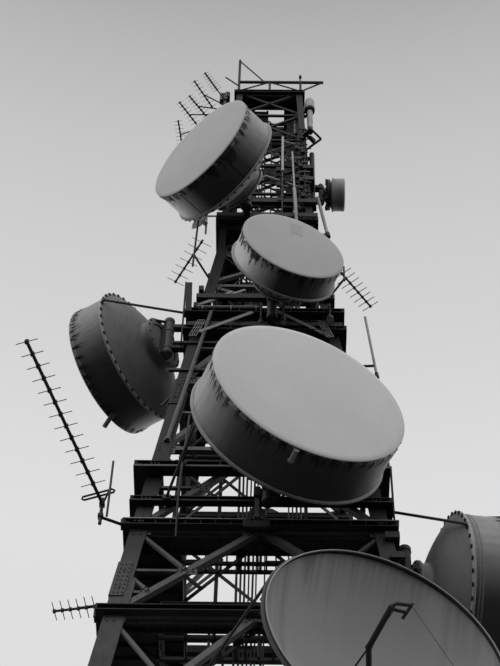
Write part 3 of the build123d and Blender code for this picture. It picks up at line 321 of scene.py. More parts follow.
# Every CAD node gets its material here; what a piece below replaces is hidden later
NODE_MATERIALS = (
    (M_LEG, ("leg_", "base_plates")),
    (M_STONE, ("footings",)),
    (M_BRACE, ("bracing_",)),
    (M_SHAFT, ("top_bracing", "ring_beams", "corner_plates", "top_frame")),
    (M_DECK, ("walkway_", "top_deck")),
    (M_RING, ("ladder", "cable_ladder")),
    (M_MOUNT, ("drum_", "open_dish", "small_drum_mount", "side_frame", "floodlights")),
    (M_RADOME, ("small_d",)),
    (M_WHIP, ("whip",)),
    (M_LAMP, ("side_horn",)),
    (M_ALU, ("large_yagi", "low_yagi", "left_yagi", "right_yagi", "yagi_group")),
)
for node_name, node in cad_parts.items():
    chosen = next(mat for mat, starts in NODE_MATERIALS if node_name.startswith(starts))
    for material_slot in node.material_slots:
        material_slot.material = chosen


# Mesh building
SQUARE = ((-0.5, -0.5), (0.5, -0.5), (0.5, 0.5), (-0.5, 0.5))


def circle(n):
    return [(math.cos(TAU * i / n), math.sin(TAU * i / n)) for i in range(n)]


def walls(n, low=0):
    """Faces between two rings of n points, the first one starting at point low."""
    return [[low + i, low + (i + 1) % n, low + n + (i + 1) % n, low + n + i] for i in range(n)]


class Mesh:
    """One piece in the making. Points and directions are given in the axes of self.place."""

    def __init__(self, name, mat, slot="tower_steel", replaces=""):
        self.name, self.mats, self.slot, self.node = name, [mat], slot, replaces
        self.v, self.f, self.smooth, self.uv, self.index = [], [], [], [], []
        self.current = 0
        self.place = WORLD

    def use(self, mat):
        if mat not in self.mats:
            self.mats.append(mat)
        self.current = self.mats.index(mat)

    def points(self, pts):
        return [self.place @ V(p) for p in pts]

    def add(self, verts, faces, smooth=False, uvs=None):
        """Adds faces on points that are already in the world's axes."""
        base = len(self.v)
        self.v.extend([tuple(p) for p in verts])
        for i, f in enumerate(faces):
            self.f.append([base + k for k in f])
            self.smooth.append(smooth)
            self.index.append(self.current)
            self.uv.append(uvs[i] if uvs else [(0, 0)] * len(f))

    def loft(self, rings, smooth=False, caps=True):
        """Skins rings of points in the world's axes and closes both ends."""
        n = len(rings[0])
        faces = [face for k in range(len(rings) - 1) for face in walls(n, k * n)]
        self.add([p for ring in rings for p in ring], faces, smooth)
        if caps:
            self.add(rings[0], [list(range(n))[::-1]])
            self.add(rings[-1], [list(range(n))])

    def prism(self, ring_a, ring_b):
        self.loft([self.points(ring_a), self.points(ring_b)])

    def bar(self, a, b, wu, ww, u=UP):
        """Flat bar: wu is its size along u and ww its size across."""
        a, b = self.points((a, b))
        d = (b - a).normalized()
        u = self.place.to_3x3() @ u
        u = (u - d * u.dot(d)).normalized()
        w = d.cross(u)
        self.loft([[p + u * x * wu + w * y * ww for x, y in SQUARE] for p in (a, b)])

    def beam(self, x0, x1, y, z, wu, ww):
        self.bar((x0, y, z), (x1, y, z), wu, ww)

    def arm(self, x, y0, y1, z, wu, ww):
        self.bar((x, y0, z), (x, y1, z), wu, ww)

    def post(self, x, y, low, high, wu, ww):
        self.bar((x, y, low), (x, y, high), wu, ww, RIGHT)

    def angle(self, a, b, along, inward, width, depth, t):
        """Rolled angle: one leg lies along the face, the other turns inward at its lower edge."""
        h = width / 2
        pts = ((-h, 0), (h, 0), (h, t), (-h + t, t), (-h + t, depth), (-h, depth))
        self.loft([[p + along * x + inward * y for x, y in pts] for p in (a, b)])

    def tube(self, a, b, r, n=12, r2=None):
        """r2: radius at the end b, where it differs."""
        a, b = self.points((a, b))
        d = (b - a).normalized()
        u = d.orthogonal().normalized()
        w = d.cross(u)
        ends = ((a, r), (b, r if r2 is None else r2))
        self.loft([[p + u * c * r + w * s * r for c, s in circle(n)] for p, r in ends], True)

    def pole(self, x, y, low, high, r, n=12):
        self.tube((x, y, low), (x, y, high), r, n)

    def path(self, pts, r, n=8):
        """Round rod through a row of points."""
        pts = self.points(pts)
        rings = []
        u = None
        for i, p in enumerate(pts):
            d = (pts[min(i + 1, len(pts) - 1)] - pts[max(i - 1, 0)]).normalized()
            u = d.orthogonal().normalized() if u is None else (u - d * u.dot(d)).normalized()
            w = d.cross(u)
            rings.append([p + u * r * c + w * r * s for c, s in circle(n)])
        self.loft(rings, True)

    def bolt(self, p, n, r=0.008, h=0.008, sides=6):
        """A head that stands on p and points along n."""
        p = self.place @ V(p)
        n = (self.place.to_3x3() @ n).normalized()
        u = n.orthogonal().normalized()
        w = n.cross(u)
        low = [p + u * c * r + w * s * r for c, s in circle(sides)]
        self.add(low + [q + n * h for q in low], walls(sides) + [list(range(sides, 2 * sides))])

    def revolve(self, profile, n=144, smooth=True, axial=False):
        """profile: (radius, y) points turned about the local Y axis. UV: v is the run, or y if axial."""
        m = len(profile)
        verts = self.points([(r * c, y, r * s) for c, s in circle(n) + [(1, 0)] for r, y in profile])
        runs = [0.0]
        for (r0, y0), (r1, y1) in zip(profile, profile[1:]):
            runs.append(runs[-1] + math.hypot(r1 - r0, y1 - y0))
        if axial:
            runs = [y for r, y in profile]
        faces, uvs = [], []
        for i, k in product(range(n), range(m - 1)):
            a, b = i * m + k, (i + 1) * m + k
            face = [a, a + 1, b + 1, b]
            u0, u1 = i / n, (i + 1) / n
            uv = [(u0, runs[k]), (u0, runs[k + 1]), (u1, runs[k + 1]), (u1, runs[k])]
            if profile[k + 1][0] < 1e-6:
                face, uv = [a, a + 1, b], [uv[0], uv[1], uv[3]]
            faces.append(face)
            uvs.append(uv)
        self.add(verts, faces, smooth, uvs)

    def lathe(self, n, *rows):
        """Revolves several profiles, each with its material."""
        for mat, profile in rows:
            self.use(mat)
            self.revolve(profile, n)

    def build(self):
        me = bpy.data.meshes.new(self.name)
        me.from_pydata(self.v, [], self.f)
        me.polygons.foreach_set("use_smooth", self.smooth)
        uv_map = me.uv_layers.new(name="UVMap")
        uv_map.data.foreach_set("uv", [c for face in self.uv for p in face for c in p])
        for mat in self.mats:
            me.materials.append(mat)
        me.polygons.foreach_set("material_index", self.index)
        me.validate()
        me.update()
        ob = bpy.data.objects.new(self.name, me)
        bpy.context.scene.collection.objects.link(ob)
        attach(ob, "root")
        if self.node:
            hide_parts(self.node)


def turn(face):
    """Axes of a side: X to its right, Y inward. Sides count from the front anticlockwise from above."""
    return Matrix.Rotation(math.pi / 2 * face, 4, "Z")


# Bracing: rolled angles with gussets and bolts, one piece for each side and section
bolts = Mesh("bracing_bolts", M_BOLT)
SIDES = ("front", "right", "rear", "left")
GUSSET_T = 0.006
GUSSET_SHAPE = ((-0.5, -0.5), (0.5, -0.5), (0.5, 0.2), (0.28, 0.5), (-0.28, 0.5), (-0.5, 0.2))


def side_tools(mesh, face, lean):
    """bar and gusset draw in the leaning plane of one side, at s along it from its middle and at height z."""
    rot = turn(face)
    inward = rot @ V((0, math.cos(lean), -math.sin(lean)))

    def at(s, z, out=0.0):
        return rot @ V((s, LEG_T - half(z), z)) - inward * out

    def bar(a, b, width, depth, t, flip=False):
        a, b = at(*a), at(*b)
        across = inward.cross((b - a).normalized())
        if (across.z < 0) != flip:
            across = -across
        mesh.angle(a, b, across, inward, width, depth, t)
        for end, other in ((a, b), (b, a)):
            step = (other - end).normalized()
            for k in range(2 if width < 0.04 else 3):
                bolts.bolt(end + step * (0.03 + 0.035 * k) + across * 0.004, -inward, 0.0075, 0.007)

    def gusset(s, z, w, h, out):
        c = at(s, z, out)
        along = rot @ RIGHT * w
        up = inward.cross(along).normalized() * h
        up = up if up.z > 0 else -up
        ring = [c + along * x + up * y for x, y in GUSSET_SHAPE]
        mesh.loft([ring, [p + inward * GUSSET_T for p in ring]])
        for x, y in product((-0.3, 0.0, 0.3), (-0.21, 0.21)):
            bolts.bolt(c + along * x + up * y, -inward, 0.008, 0.007)

    return bar, gusset


BODY_LEAN = math.atan((FOOT_W - BEND_W) / 2 / BEND_Z)
TOP_LEAN = math.atan((BEND_W - TOP_W) / 2 / (TOP_Z - BEND_Z))
# Sizes of angles: width, depth and thickness
MAIN, FINE = (0.05, 0.045, 0.007), (0.028, 0.025, 0.004)
CROSS, LIGHT = (0.044, 0.034, 0.006), (0.026, 0.024, 0.004)

for face, side in enumerate(SIDES):
    mesh = Mesh("bracing_" + side + "_angles", M_BRACE, "tower_steel", "bracing_" + side)
    bar, gusset = side_tools(mesh, face, BODY_LEAN)
    for z0, z1 in zip(BODY_LEVELS, BODY_LEVELS[1:]):
        zm, zq = (z0 + z1) / 2, z0 + (z1 - z0) / 4
        for s in (-1, 1):
            foot, apex = (s * edge(z0 + 0.05), z0 + 0.03), (s * 0.02, z1 - 0.01)
            mid = ((foot[0] + apex[0]) / 2, zm)
            quarter = ((foot[0] + mid[0]) / 2, zq)
            bar(foot, apex, *MAIN)
            bar((s * edge(zm), zm), mid, *FINE)
            gusset(*mid, 0.14, 0.085, -0.004)
            if z1 <= Z_A:
                bar((s * edge(z1), z1 - 0.03), mid, *FINE)
                bar((s * edge(zm), zm - 0.02), quarter, *FINE)
                bar((s * edge(zq), zq), quarter, *FINE)
            gusset(s * (edge(z1) - 0.04), z1 - 0.02, 0.13, 0.13, 0.0)
        bar((-edge(z1), z1), (edge(z1), z1), *MAIN)
        gusset(0, z1, 0.27, 0.14, -0.001)
    zg = (BODY_LEVELS[0] + BODY_LEVELS[1]) / 2
    bar((-edge(zg), zg + 0.05), (edge(zg), zg + 0.05), *MAIN)
    for z0, z1 in zip(BODY_LEVELS[1:4], BODY_LEVELS[2:5]):
        bar((0.0, z0), (0.0, z1), *FINE)
    for z0, z1 in zip(X_LEVELS, X_LEVELS[1:]):
        z1 -= 0.06
        bar((-edge(z0), z0 + 0.03), (edge(z1), z1 - 0.02), *CROSS)
        bar((edge(z0), z0 + 0.03), (-edge(z1), z1 - 0.02), *CROSS, True)
        bar((-edge(z1), z1), (edge(z1), z1), *CROSS)
        gusset(0, (z0 + z1) / 2, 0.09, 0.07, -0.003)
    mesh.build()
    mesh = Mesh("top_bracing_" + side + "_angles", M_SHAFT, "tower_steel", "top_bracing_" + side)
    bar, gusset = side_tools(mesh, face, TOP_LEAN)
    for z0, z1 in zip(TOP_LEVELS, TOP_LEVELS[1:]):
        z0 += 0.03
        z1 -= 0.03 if z1 == TOP_Z else 0.0
        e0, e1 = half(z0) - 0.04, half(z1) - 0.04
        bar((-e0, z0), (e1, z1 - 0.02), *LIGHT)
        bar((e0, z0), (-e1, z1 - 0.02), *LIGHT, True)
        bar((-e1, z1), (e1, z1), *LIGHT)
        gusset(0, (z0 + z1) / 2, 0.06, 0.05, -0.002)
    mesh.build()
bolts.build()

# Plan bracing across the inside: a diamond and a cross at every main level, with hanging inner posts
inner = Mesh("plan_bracing", M_SHAFT)
for z, face in product(JOINTS + TOP_LEVELS[:-1], range(4)):
    h = half(z) - LEG_T - 0.06
    low = z - (0.075 if z in (Z_A, Z_B, Z_C, Z_D) else 0.035)
    size = 0.045 if z < Z_C else 0.028
    inner.place = turn(face)
    inner.bar((0, -h, low), (h, 0, low), size, 0.006)
    inner.bar((-h, -h, low), (-h / 2, -h / 2, low), size, 0.006)
inner.place = WORLD
for z in (14.6, 15.6, 16.6, 17.4, 18.6, 19.2, 19.8, 20.4, 21.0):
    h = half(z) - LEG_T - 0.04
    for y in (-0.35 * h, 0.42 * h):
        inner.beam(-h, h, y, z, 0.03, 0.02)
for sx in (-1, 1):
    inner.post(sx * 0.36, 0.3, Z_A, 15.9, 0.03, 0.03)
    inner.post(sx * 0.25, 0.24, 16.2, 21.2, 0.03, 0.03)
inner.build()

# Legs: the CAD angles stay; bolt rows, fuller splices and climbing pegs are added
leg_bolts = Mesh("leg_bolts", M_BOLT)
SPLICE_T, ROW_STEP = 0.008, 0.05
# Middle height, rows, plate thickness, distances from the corner and size of the bolts
LEG_ROWS = [(z, 5, 0.0, (0.035, 0.085), 0.007) if z < 13 else (z, 3, 0.0, (0.035,), 0.007) for z in JOINTS]
LEG_ROWS += [(z, 8, SPLICE_T, (0.03, 0.06, 0.09), 0.006) for z in (5.85, 12.15)]
LEG_ROWS += [(14.9, 8, SPLICE_T, (0.03, 0.06), 0.006)]
for middle, rows, out, columns, r in LEG_ROWS:
    for row, face, k, sx in product(range(rows), range(4), columns, (-1, 1)):
        z = middle + (row - (rows - 1) / 2) * ROW_STEP
        h = half(z) + out
        leg_bolts.place = turn(face)
        leg_bolts.bolt((sx * (h - k), -h, z), -BACK, r, r)
leg_bolts.place = WORLD
PEG_COUNT, PEG_STEP, PEG_LENGTH = 92, 0.2, 0.075
for i in range(PEG_COUNT):
    z = 1.4 + PEG_STEP * i
    h = half(z)
    start, out = (V((h, h - 0.02, z)), RIGHT) if i % 2 else (V((h - 0.02, h, z)), BACK)
    leg_bolts.tube(start, start + out * PEG_LENGTH, 0.0055, 6)
    leg_bolts.bolt(start + out * PEG_LENGTH, out, 0.009, 0.006)
leg_bolts.build()

# Base plates: stiffening gussets and anchor rods
base = Mesh("base_gussets", M_LEG)
PLATE_TOP, ROD_AT = 0.174, 0.1254
foot_at = half(PLATE_TOP) - 0.175 / 3
for sx, sy, face in product((-1, 1), (-1, 1), range(4)):
    base.place = Matrix.Translation((sx * foot_at, sy * foot_at, PLATE_TOP)) @ turn(face)
    base.prism(*[[(x, y, z) for x, z in ((0.02, 0), (0.15, 0), (0.02, 0.16))] for y in (-0.005, 0.005)])
    base.pole(ROD_AT, ROD_AT, 0.0, 0.055, 0.009, 10)
base.build()

# Ring beams: web stiffeners, splice bolts and a worn lower or upper edge
# Height, depth, distance outside the legs and pitch of the stiffeners
RINGS = ((Z_A, 0.062, 0.058, 0.106), (Z_DRUM_LOW, 0.062, 0.058, 0.3), (Z_DRUM_HIGH, 0.076, 0.099, 0.3),
         (Z_C, 0.062, 0.088, 0.2), (Z_C_LOW, 0.062, 0.07, 0.2), (Z_D, 0.05, 0.048, 0.16))
WORN = {Z_A: (0.031, 0.009, M_PALE), Z_DRUM_HIGH: (-0.03, 0.02, M_BRACE), Z_DRUM_LOW: (-0.024, 0.014, M_RING)}
ring = Mesh("ring_stiffeners", M_SHAFT)
edges = Mesh("ring_worn_edges", M_PALE)
for (z, depth, out, pitch), face in product(RINGS, range(4)):
    ring.place = edges.place = turn(face)
    outer = half(z) + out
    web = depth / 2 - 0.009
    count = int(2 * outer / pitch)
    for i in range(count + 1):
        x = -outer + 0.02 + i * (2 * outer - 0.04) / count
        ring.post(x, 0.027 - outer, z - web, z + web, 0.008, 0.046)
    for sx, k in product((-1, 1), range(1, 4)):
        ring.bolt((sx * (half(z) - 0.03 * k), 0.012 - outer, z), -BACK, 0.008, 0.014)
    if z in WORN:
        rise, band, worn_mat = WORN[z]
        edges.use(worn_mat)
        edges.beam(-outer, outer, -outer - 0.001, z + rise, band, 0.006)
ring.build()
edges.build()

# Upper walkways: close joists under the plate, bearers and a folded toe board
JOIST_PITCH, TOE_H, TOE_T = 0.12, 0.06, 0.004
UPPER_DECKS = ((Z_C, 0.231, 0.0453), (Z_D, 0.1485, 0.0293), (TOP_Z - 0.03, 0.165, 0.0293))
decks = Mesh("walkway_joists", M_DECK, "deck")
for (z, width, inset), face in product(UPPER_DECKS, range(4)):
    decks.place = turn(face)
    outer = half(z) - inset
    rim = outer - width
    count = int(2 * rim / JOIST_PITCH)
    for i in range(count + 1):
        x = -rim + i * 2 * rim / count
        decks.arm(x, -outer, -rim, z - 0.032, 0.036, 0.006)
    for y in (0.01 - outer, -(outer + rim) / 2):
        decks.beam(0.02 - outer, outer - 0.02, y, z - 0.056, 0.006, 0.03)
    decks.beam(-rim, rim, -rim - 0.004, z + TOE_H / 2, TOE_H, TOE_T)
decks.build()

# The two lower walkways: full plates at the sides and rear; at the front a plate strip, then open bearers
WALK_W, DECK_T, DECK_RIM, EDGE_T, LADDER_BEAM_Y = 0.33, 0.014, 0.06, 0.008, 0.085
RAIL_H, RAIL_R, BEARER_DROP, JOIST_DROP = 0.54, 0.0105, 0.045, 0.034
for name, z, strip_w, bearers, cross in (
    ("walkway_a", Z_A, 0.168, (-0.4, -0.245, -0.091, -0.018, 0.045, 0.114, 0.25, 0.4), (0.648,)),
    ("walkway_b", Z_B, 0.088, (-0.5, -0.3, -0.09, 0.1, 0.3, 0.5), (0.87,)),
):
    walk = Mesh(name + "_parts", M_DECK, "deck", name)
    outer = half(z) - 0.0423
    rim, middle, front = outer - WALK_W, outer - WALK_W / 2, strip_w - outer
    for x0, y0, x1, y1, w in (
        (-outer, front - strip_w / 2, outer, front - strip_w / 2, strip_w),
        (-outer, middle, outer, middle, WALK_W),
        (-middle, front, -middle, rim, WALK_W),
        (middle, front, middle, rim, WALK_W),
    ):
        start, end = V((x0, y0, z)), V((x1, y1, z))
        run = (end - start).normalized()
        across = run.cross(UP)
        walk.bar(start - UP * DECK_T / 2, end - UP * DECK_T / 2, DECK_T, w)
        for k in range(int((end - start).length / JOIST_PITCH) + 1):
            c = start - UP * JOIST_DROP + run * (0.01 + JOIST_PITCH * k)
            walk.bar(c - across * (w / 2 - 0.004), c + across * (w / 2 - 0.004), 0.038, 0.006)
        for sx in (-1, 1):
            shift = across * sx * (w - EDGE_T) / 2 - UP * DECK_RIM / 2
            walk.bar(start + shift, end + shift, DECK_RIM, EDGE_T)
    low = z - BEARER_DROP
    walk.use(M_SHAFT)
    for x in bearers:
        walk.arm(x, front - 0.01, -rim, low, 0.03, 0.012)
    walk.use(M_RING)
    walk.arm(-0.157, front - 0.01, -rim, low, 0.03, 0.03)
    walk.use(M_SHAFT)
    for y in cross + (rim,):
        walk.beam(-rim, rim, -y, low, 0.03, 0.02)
    walk.beam(-rim, rim, LADDER_BEAM_Y, z - 0.031, 0.058, 0.03)
    post = rim + 0.015
    for face in range(4):
        walk.place = turn(face)
        for x in (-post, -post / 2, 0, post / 2):
            walk.pole(x, -post, z - 0.04, z + RAIL_H, RAIL_R, 10)
        for h in (RAIL_H, RAIL_H / 2):
            walk.tube((-post, -post, z + h), (post, -post, z + h), RAIL_R, 10)
        if face:
            walk.beam(-rim, rim, -rim - 0.002, z + TOE_H / 2, TOE_H, TOE_T)
    walk.build()

# Ladder rungs, and the feeder cables that fill the cable ladder and a second tray on the ladder's right
rungs = Mesh("ladder_rungs", M_RING)
RUNG_COUNT, RUNG_STEP, RUNG_Y = 139, 0.15, 0.058
for i in range(RUNG_COUNT):
    z = 0.2 + RUNG_STEP * i
    rungs.tube((0.03, RUNG_Y, z), (0.21, RUNG_Y, z), 0.007, 8)
rungs.build()
cables = Mesh("feeder_cables", M_CABLE)
clips = Mesh("cable_clips", M_BOLT)
CABLE_STEPS, CABLE_WAVE, CLIP_COUNT, CLIP_STEP = 60, 0.002, 46, 0.45
# First cable's x, pitch, y, lower end and upper ends
BUNDLES = (
    (-0.192, 0.031, 0.112, 0.1, (20.9, 20.7, 20.9, 20.5, 20.9)),
    (0.245, 0.034, 0.09, 0.3, (20.9, 20.6, 20.9)),
)
for first, pitch, y, low, tops in BUNDLES:
    for i, top in enumerate(tops):
        x = first + pitch * i
        rise = (top - low) / CABLE_STEPS
        run = []
        for k in range(CABLE_STEPS + 1):
            wave = CABLE_WAVE * math.sin(k * 1.7 + i), CABLE_WAVE * math.cos(k * 2.1 + i)
            run.append((x + wave[0], y + wave[1], low + rise * k))
        cables.path(run, 0.0085 if i % 3 else 0.0065)
    last = first + pitch * (len(tops) - 1)
    for i in range(CLIP_COUNT):
        z = 0.6 + CLIP_STEP * i
        clips.beam(first - 0.014, last + 0.014, y + 0.012, z, 0.03, 0.004)
        if y < 0.1:
            clips.beam(0.2, first, y + 0.012, z, 0.02, 0.006)
cables.build()
clips.build()

# Drums: diameter, middle of the front rim, bearing and rise, shroud length, side paint, mast's ends
Drum = namedtuple("Drum", "dia at bearing rise shroud paint mast")
DRUMS = {
    "drum_1": Drum(1.18, (-0.638, -1.143, 18.43), -133.5, 0.0, 0.345, "ragged", (18.12, 18.76)),
    "drum_2": Drum(0.915, (0.24, -1.292, 16.336), -69.3, 0.0, 0.25, "ragged", (15.9, 16.78)),
    "drum_3": Drum(1.51, (0.347, -1.745, 13.42), -67.3, 0.0, 0.41, "forked", (13.0, 13.8)),
    "drum_4": Drum(1.22, (-1.424, 0.18, 16.57), 148.0, 0.0, 0.34, "lit_side", (16.33, 16.9)),
    "drum_5": Drum(1.22, (1.708, -0.555, 12.488), 9.9, 4.9, 0.35, "dark", (12.05, 12.96)),
    "open_dish": Drum(1.6, (0.796, -1.978, 10.39), -67.6, 0.0, 0.04, "", (9.95, 10.83)),
}
DEPTH, HUB, SHELL, FLANGE, HUB_LEN, HUB_WALL = 0.164, 0.19, 0.009, 0.022, 0.034, 0.012
MAST_GAP, MAST_R, PLATE_T = 0.024, 0.042, 0.02
RADOME_LAP, RADOME_T, BULGE = 0.034, 0.008, 0.02


def aimed(at, bearing, rise=0.0):
    """Axes of a drum: local Y runs back from its front."""
    level = Matrix.Translation(at) @ Matrix.Rotation(math.radians(bearing + 90), 4, "Z")
    return level @ Matrix.Rotation(math.radians(-rise), 4, "X")


def drum_place(name):
    return aimed(*DRUMS[name][1:4])


def bowl_y(r, rim, shroud, depth):
    return shroud + depth * (1 - (r / rim) ** 2)


def spoke(turns):
    """Unit vector across the local Y axis, this share of a turn round from X."""
    return V((math.cos(TAU * turns), 0, math.sin(TAU * turns)))


def around(r, y, count, shift=0.0):
    """Points spread on a circle about the local Y axis; shift is a share of their spacing."""
    return [spoke((i + shift) / count) * r + BACK * y for i in range(count)]


fittings = Mesh("drum_fittings", M_SEAM_AND_SLOT_SHADE, "mount_steel")
sleeves = Mesh("mast_sleeves", M_MOUNT, "mount_steel")
for name, (dia, at, bearing, rise, shroud, paint_name, mast) in DRUMS.items():
    R, depth, hub_r = dia / 2, DEPTH * dia, HUB * dia
    dish = not paint_name
    worn_and_lit = name in ("drum_1", "drum_2")
    body = Mesh(name + "_shell", M_DISH_WALL if dish else M_SHROUD[paint_name], "shell", name + "_bowl")
    body.place = fittings.place = aimed(at, bearing, rise)
    front = shroud - FLANGE
    lip_paint = M_DISH_WALL if dish else M_FLANGE
    # Drums 1 and 2 keep the paler back and have dirtier radomes; the other drums get the darker back, painted
    # shade
    back_paint = M_BACK_PALE if worn_and_lit else M_BACK_SHADED
    hub_y = bowl_y(hub_r, R, shroud, depth + SHELL)
    hub_back = shroud + depth + SHELL + HUB_LEN
    plate_r, plate_back = hub_r + 0.019, hub_back + PLATE_T + 0.0015
    lip = [(R, front), (R + 0.013, front), (R + 0.02, front + 0.005), (R + FLANGE, front + FLANGE / 2),
           (R + 0.02, shroud - 0.004), (R + 0.014, shroud), (R - 0.003, shroud + 0.002)]
    bowl = [(R * k / 24, bowl_y(R * k / 24, R, shroud, depth + SHELL)) for k in range(23, -1, -1)]
    hub = [(hub_r + 0.014, hub_y - 0.004), (hub_r + 0.003, hub_y + 0.005), (hub_r, hub_y + 0.014),
           (hub_r, hub_back)]
    body.revolve([(R, front * k / 12) for k in range(13)], axial=True)
    body.lathe(144, (lip_paint, lip), (back_paint, [(R - 0.001, shroud)] + bowl))
    body.lathe(
        96,
        (back_paint, hub),
        (M_FLANGE, [(hub_r, hub_back), (hub_r - 0.003, hub_back + 0.0015), (hub_r - HUB_WALL, hub_back)]),
        (back_paint, [(hub_r - HUB_WALL, hub_back), (hub_r - HUB_WALL, hub_y)]),
        (back_paint, [(plate_r, hub_back + 0.001), (plate_r, plate_back), (hub_r - 0.041, plate_back)]),
    )
    if dish:
        inside = [(R * k / 32, bowl_y(R * k / 32, R - SHELL, shroud, depth)) for k in range(32, -1, -1)]
        bead = [(R - 0.0015 + 0.0042 * c, 0.001 + 0.0042 * s) for c, s in circle(12)]
        body.lathe(144, (M_DISH, inside), (M_RIM, bead + bead[:1]))
    body.build()
    # Dark discs round the back flange: painted shade standing for the flange's slots
    for p in around(R + 0.008, shroud - 0.001, 40, 0.5):
        fittings.bolt(p, BACK, 0.0165, 0.008, 12)
    for p in around(hub_r + 0.004, hub_back + PLATE_T, 16):
        fittings.bolt(p, BACK, 0.009, 0.01)
    x, y, z = body.place @ V((0, hub_back + MAST_GAP + MAST_R, 0))
    sleeves.use(M_BRACE if name == "drum_4" else M_MOUNT)
    sleeves.pole(x, y, mast[0] + 0.004, mast[1] - 0.004, MAST_R + 0.0015, 32)
    for clamp in (mast[0] + 0.03, mast[1] - 0.03, z - 0.14, z + 0.14):
        sleeves.pole(x, y, clamp - 0.02, clamp + 0.02, MAST_R + 0.007, 32)
    if dish:
        continue
    skin = Mesh(name + "_skin", M_SHROUD[paint_name], "radome", name + "_radome")
    skin.place = body.place
    rim = R + 0.0073
    skin.revolve([(R, RADOME_LAP), (rim, RADOME_LAP), (rim, 0.0)], axial=True)
    skin.use(M_RADOME_WORN if worn_and_lit else M_RADOME)
    domed = [(rim * (1 - k / 16), -RADOME_T - dia * BULGE * (1 - (1 - k / 16) ** 2)) for k in range(1, 17)]
    skin.revolve([(rim, 0.0), (rim, -0.004), (rim - 0.003, -RADOME_T)] + domed)
    skin.build()
    # Rim hooks with two prongs of odd lengths
    hooks = int(dia * 30)
    for i in range(hooks):
        turns = (i + random.uniform(-0.15, 0.15)) / hooks
        radial, tangent = spoke(turns), spoke(turns + 0.25)
        a = radial * (R + 0.008) + BACK * (RADOME_LAP - 0.01)
        fittings.bolt(a, radial, 0.006, 0.005)
        for s in (-1, 1):
            reach = random.uniform(0.03, 0.05 if paint_name == "ragged" else 0.085)
            b = radial * (R + 0.003) + tangent * s * random.uniform(0.006, 0.02) + BACK * (RADOME_LAP + reach)
            fittings.tube(a, b, 0.0035, 5, 0.001)
fittings.build()
sleeves.build()

# Mount of the fourth drum: plate ring with a closed cover, yoke, mast, two rails with arms, and a long stay
drum4, place4, side4 = DRUMS["drum_4"], drum_place("drum_4"), turn(3)
hub4 = HUB * drum4.dia
seat4 = drum4.shroud + DEPTH * drum4.dia + SHELL + HUB_LEN
axis4 = seat4 + MAST_GAP + MAST_R
middle4 = (seat4 + axis4) / 2
x4, y4, _ = place4 @ V((0, axis4, 0))
holder = Mesh("drum_4_mount_parts", M_MOUNT, "mount_steel", "drum_4_mount")
holder.place = place4
inside, outside, near, far = hub4 - 0.04, hub4 + 0.018, seat4 + 0.0003, seat4 + PLATE_T
holder.revolve([(outside, near), (outside, far), (inside, far), (inside, near), (outside, near)], 96, False)
holder.use(M_BACK_SHADED)
holder.revolve([(inside, seat4 + 0.008), (hub4 - 0.06, seat4 + 0.012), (0.0, seat4 + 0.012)], 96)
holder.use(M_MOUNT)
holder.bar((0, middle4, -hub4), (0, middle4, hub4), axis4 - seat4, 0.1, BACK)
holder.place = WORLD
holder.use(M_BRACE)
holder.pole(x4, y4, *drum4.mast, MAST_R, 24)
holder.use(M_MOUNT)
local_x = (side4.inverted() @ V((x4, y4, 0))).x
for z in (16.44, 16.78):
    span = half(z) + 0.046
    holder.place = side4
    holder.beam(-span, span, -half(z) - 0.0235, z, 0.068, 0.045)
    holder.place = WORLD
    holder.bar((x4, y4, z), side4 @ V((local_x, -half(z) - 0.044, z)), 0.05, 0.056)
for angle in (50, 130):
    holder.tube(place4 @ (spoke(angle / 360) * hub4 + BACK * far), (x4, y4, drum4.mast[1] - 0.03), 0.014, 10)
# The stay runs from a lug on the flange to a pad on the ring beam
PAD_X, PAD_Y = -half(Z_C) - 0.0883, -0.65
lug = [place4 @ (spoke(8 / 360) * (drum4.dia / 2 + 0.012) + BACK * (drum4.shroud + y)) for y in (0.0, 0.034)]
holder.bar(*lug, 0.03, 0.016)
holder.tube(lug[0].lerp(lug[1], 0.6), (PAD_X - 0.008, PAD_Y, Z_C), 0.011)
holder.beam(PAD_X, PAD_X - 0.016, PAD_Y, Z_C, 0.062, 0.06)
holder.build()

# Joints in the drum sides, raised hoops on one of them, drain tubes and a repaired patch
seams = Mesh("drum_side_joints", M_SEAM_AND_SLOT_SHADE, "shell")
STRIP_STEPS, STRIP_W, STRIP_T = 10, 0.008, 0.002
for name, angles in (("drum_1", (243, 299, 63, 123)), ("drum_5", (290, 110))):
    drum = DRUMS[name]
    seams.place = drum_place(name)
    R = drum.dia / 2
    wide = STRIP_W / 2 / R / TAU
    step = (drum.shroud - FLANGE - RADOME_LAP) / STRIP_STEPS
    for angle, k in product(angles, range(STRIP_STEPS)):
        section = ((R, -wide), (R + STRIP_T, -wide), (R + STRIP_T, wide), (R, wide))
        corners = [spoke(angle / 360 + d) * r for r, d in section]
        seams.prism(*[[c + BACK * (RADOME_LAP + step * end) for c in corners] for end in (k, k + 1)])
seams.build()
hoops = Mesh("drum_5_hoops", M_BACK_SHADED, "shell")
hoops.place = drum_place("drum_5")
R5 = DRUMS["drum_5"].dia / 2
for back in (0.05, 0.075):
    y = DRUMS["drum_5"].shroud - back
    hoops.revolve([(R5, y - 0.008), (R5 + 0.004, y - 0.004), (R5 + 0.004, y + 0.004), (R5, y + 0.008)])
hoops.build()
drains = Mesh("drum_drains", M_BACK_PALE, "shell")
LOWEST = spoke(262.7 / 360)
R3, R4 = DRUMS["drum_3"].dia / 2, drum4.dia / 2
drains.place = drum_place("drum_3")
a, b = [LOWEST * (R3 + 0.014) + BACK * y for y in (0.012, 0.115)]
drains.tube(a, b, 0.02, 20)
drains.tube(a.lerp(b, 0.85), a.lerp(b, 1.06), 0.024, 20)
drains.use(M_BRACE)
drains.place = place4
drains.tube(LOWEST * (R4 * 0.99) + BACK * 0.06, LOWEST * (R4 * 1.2) - BACK * 0.04, 0.021, 20)
drains.build()
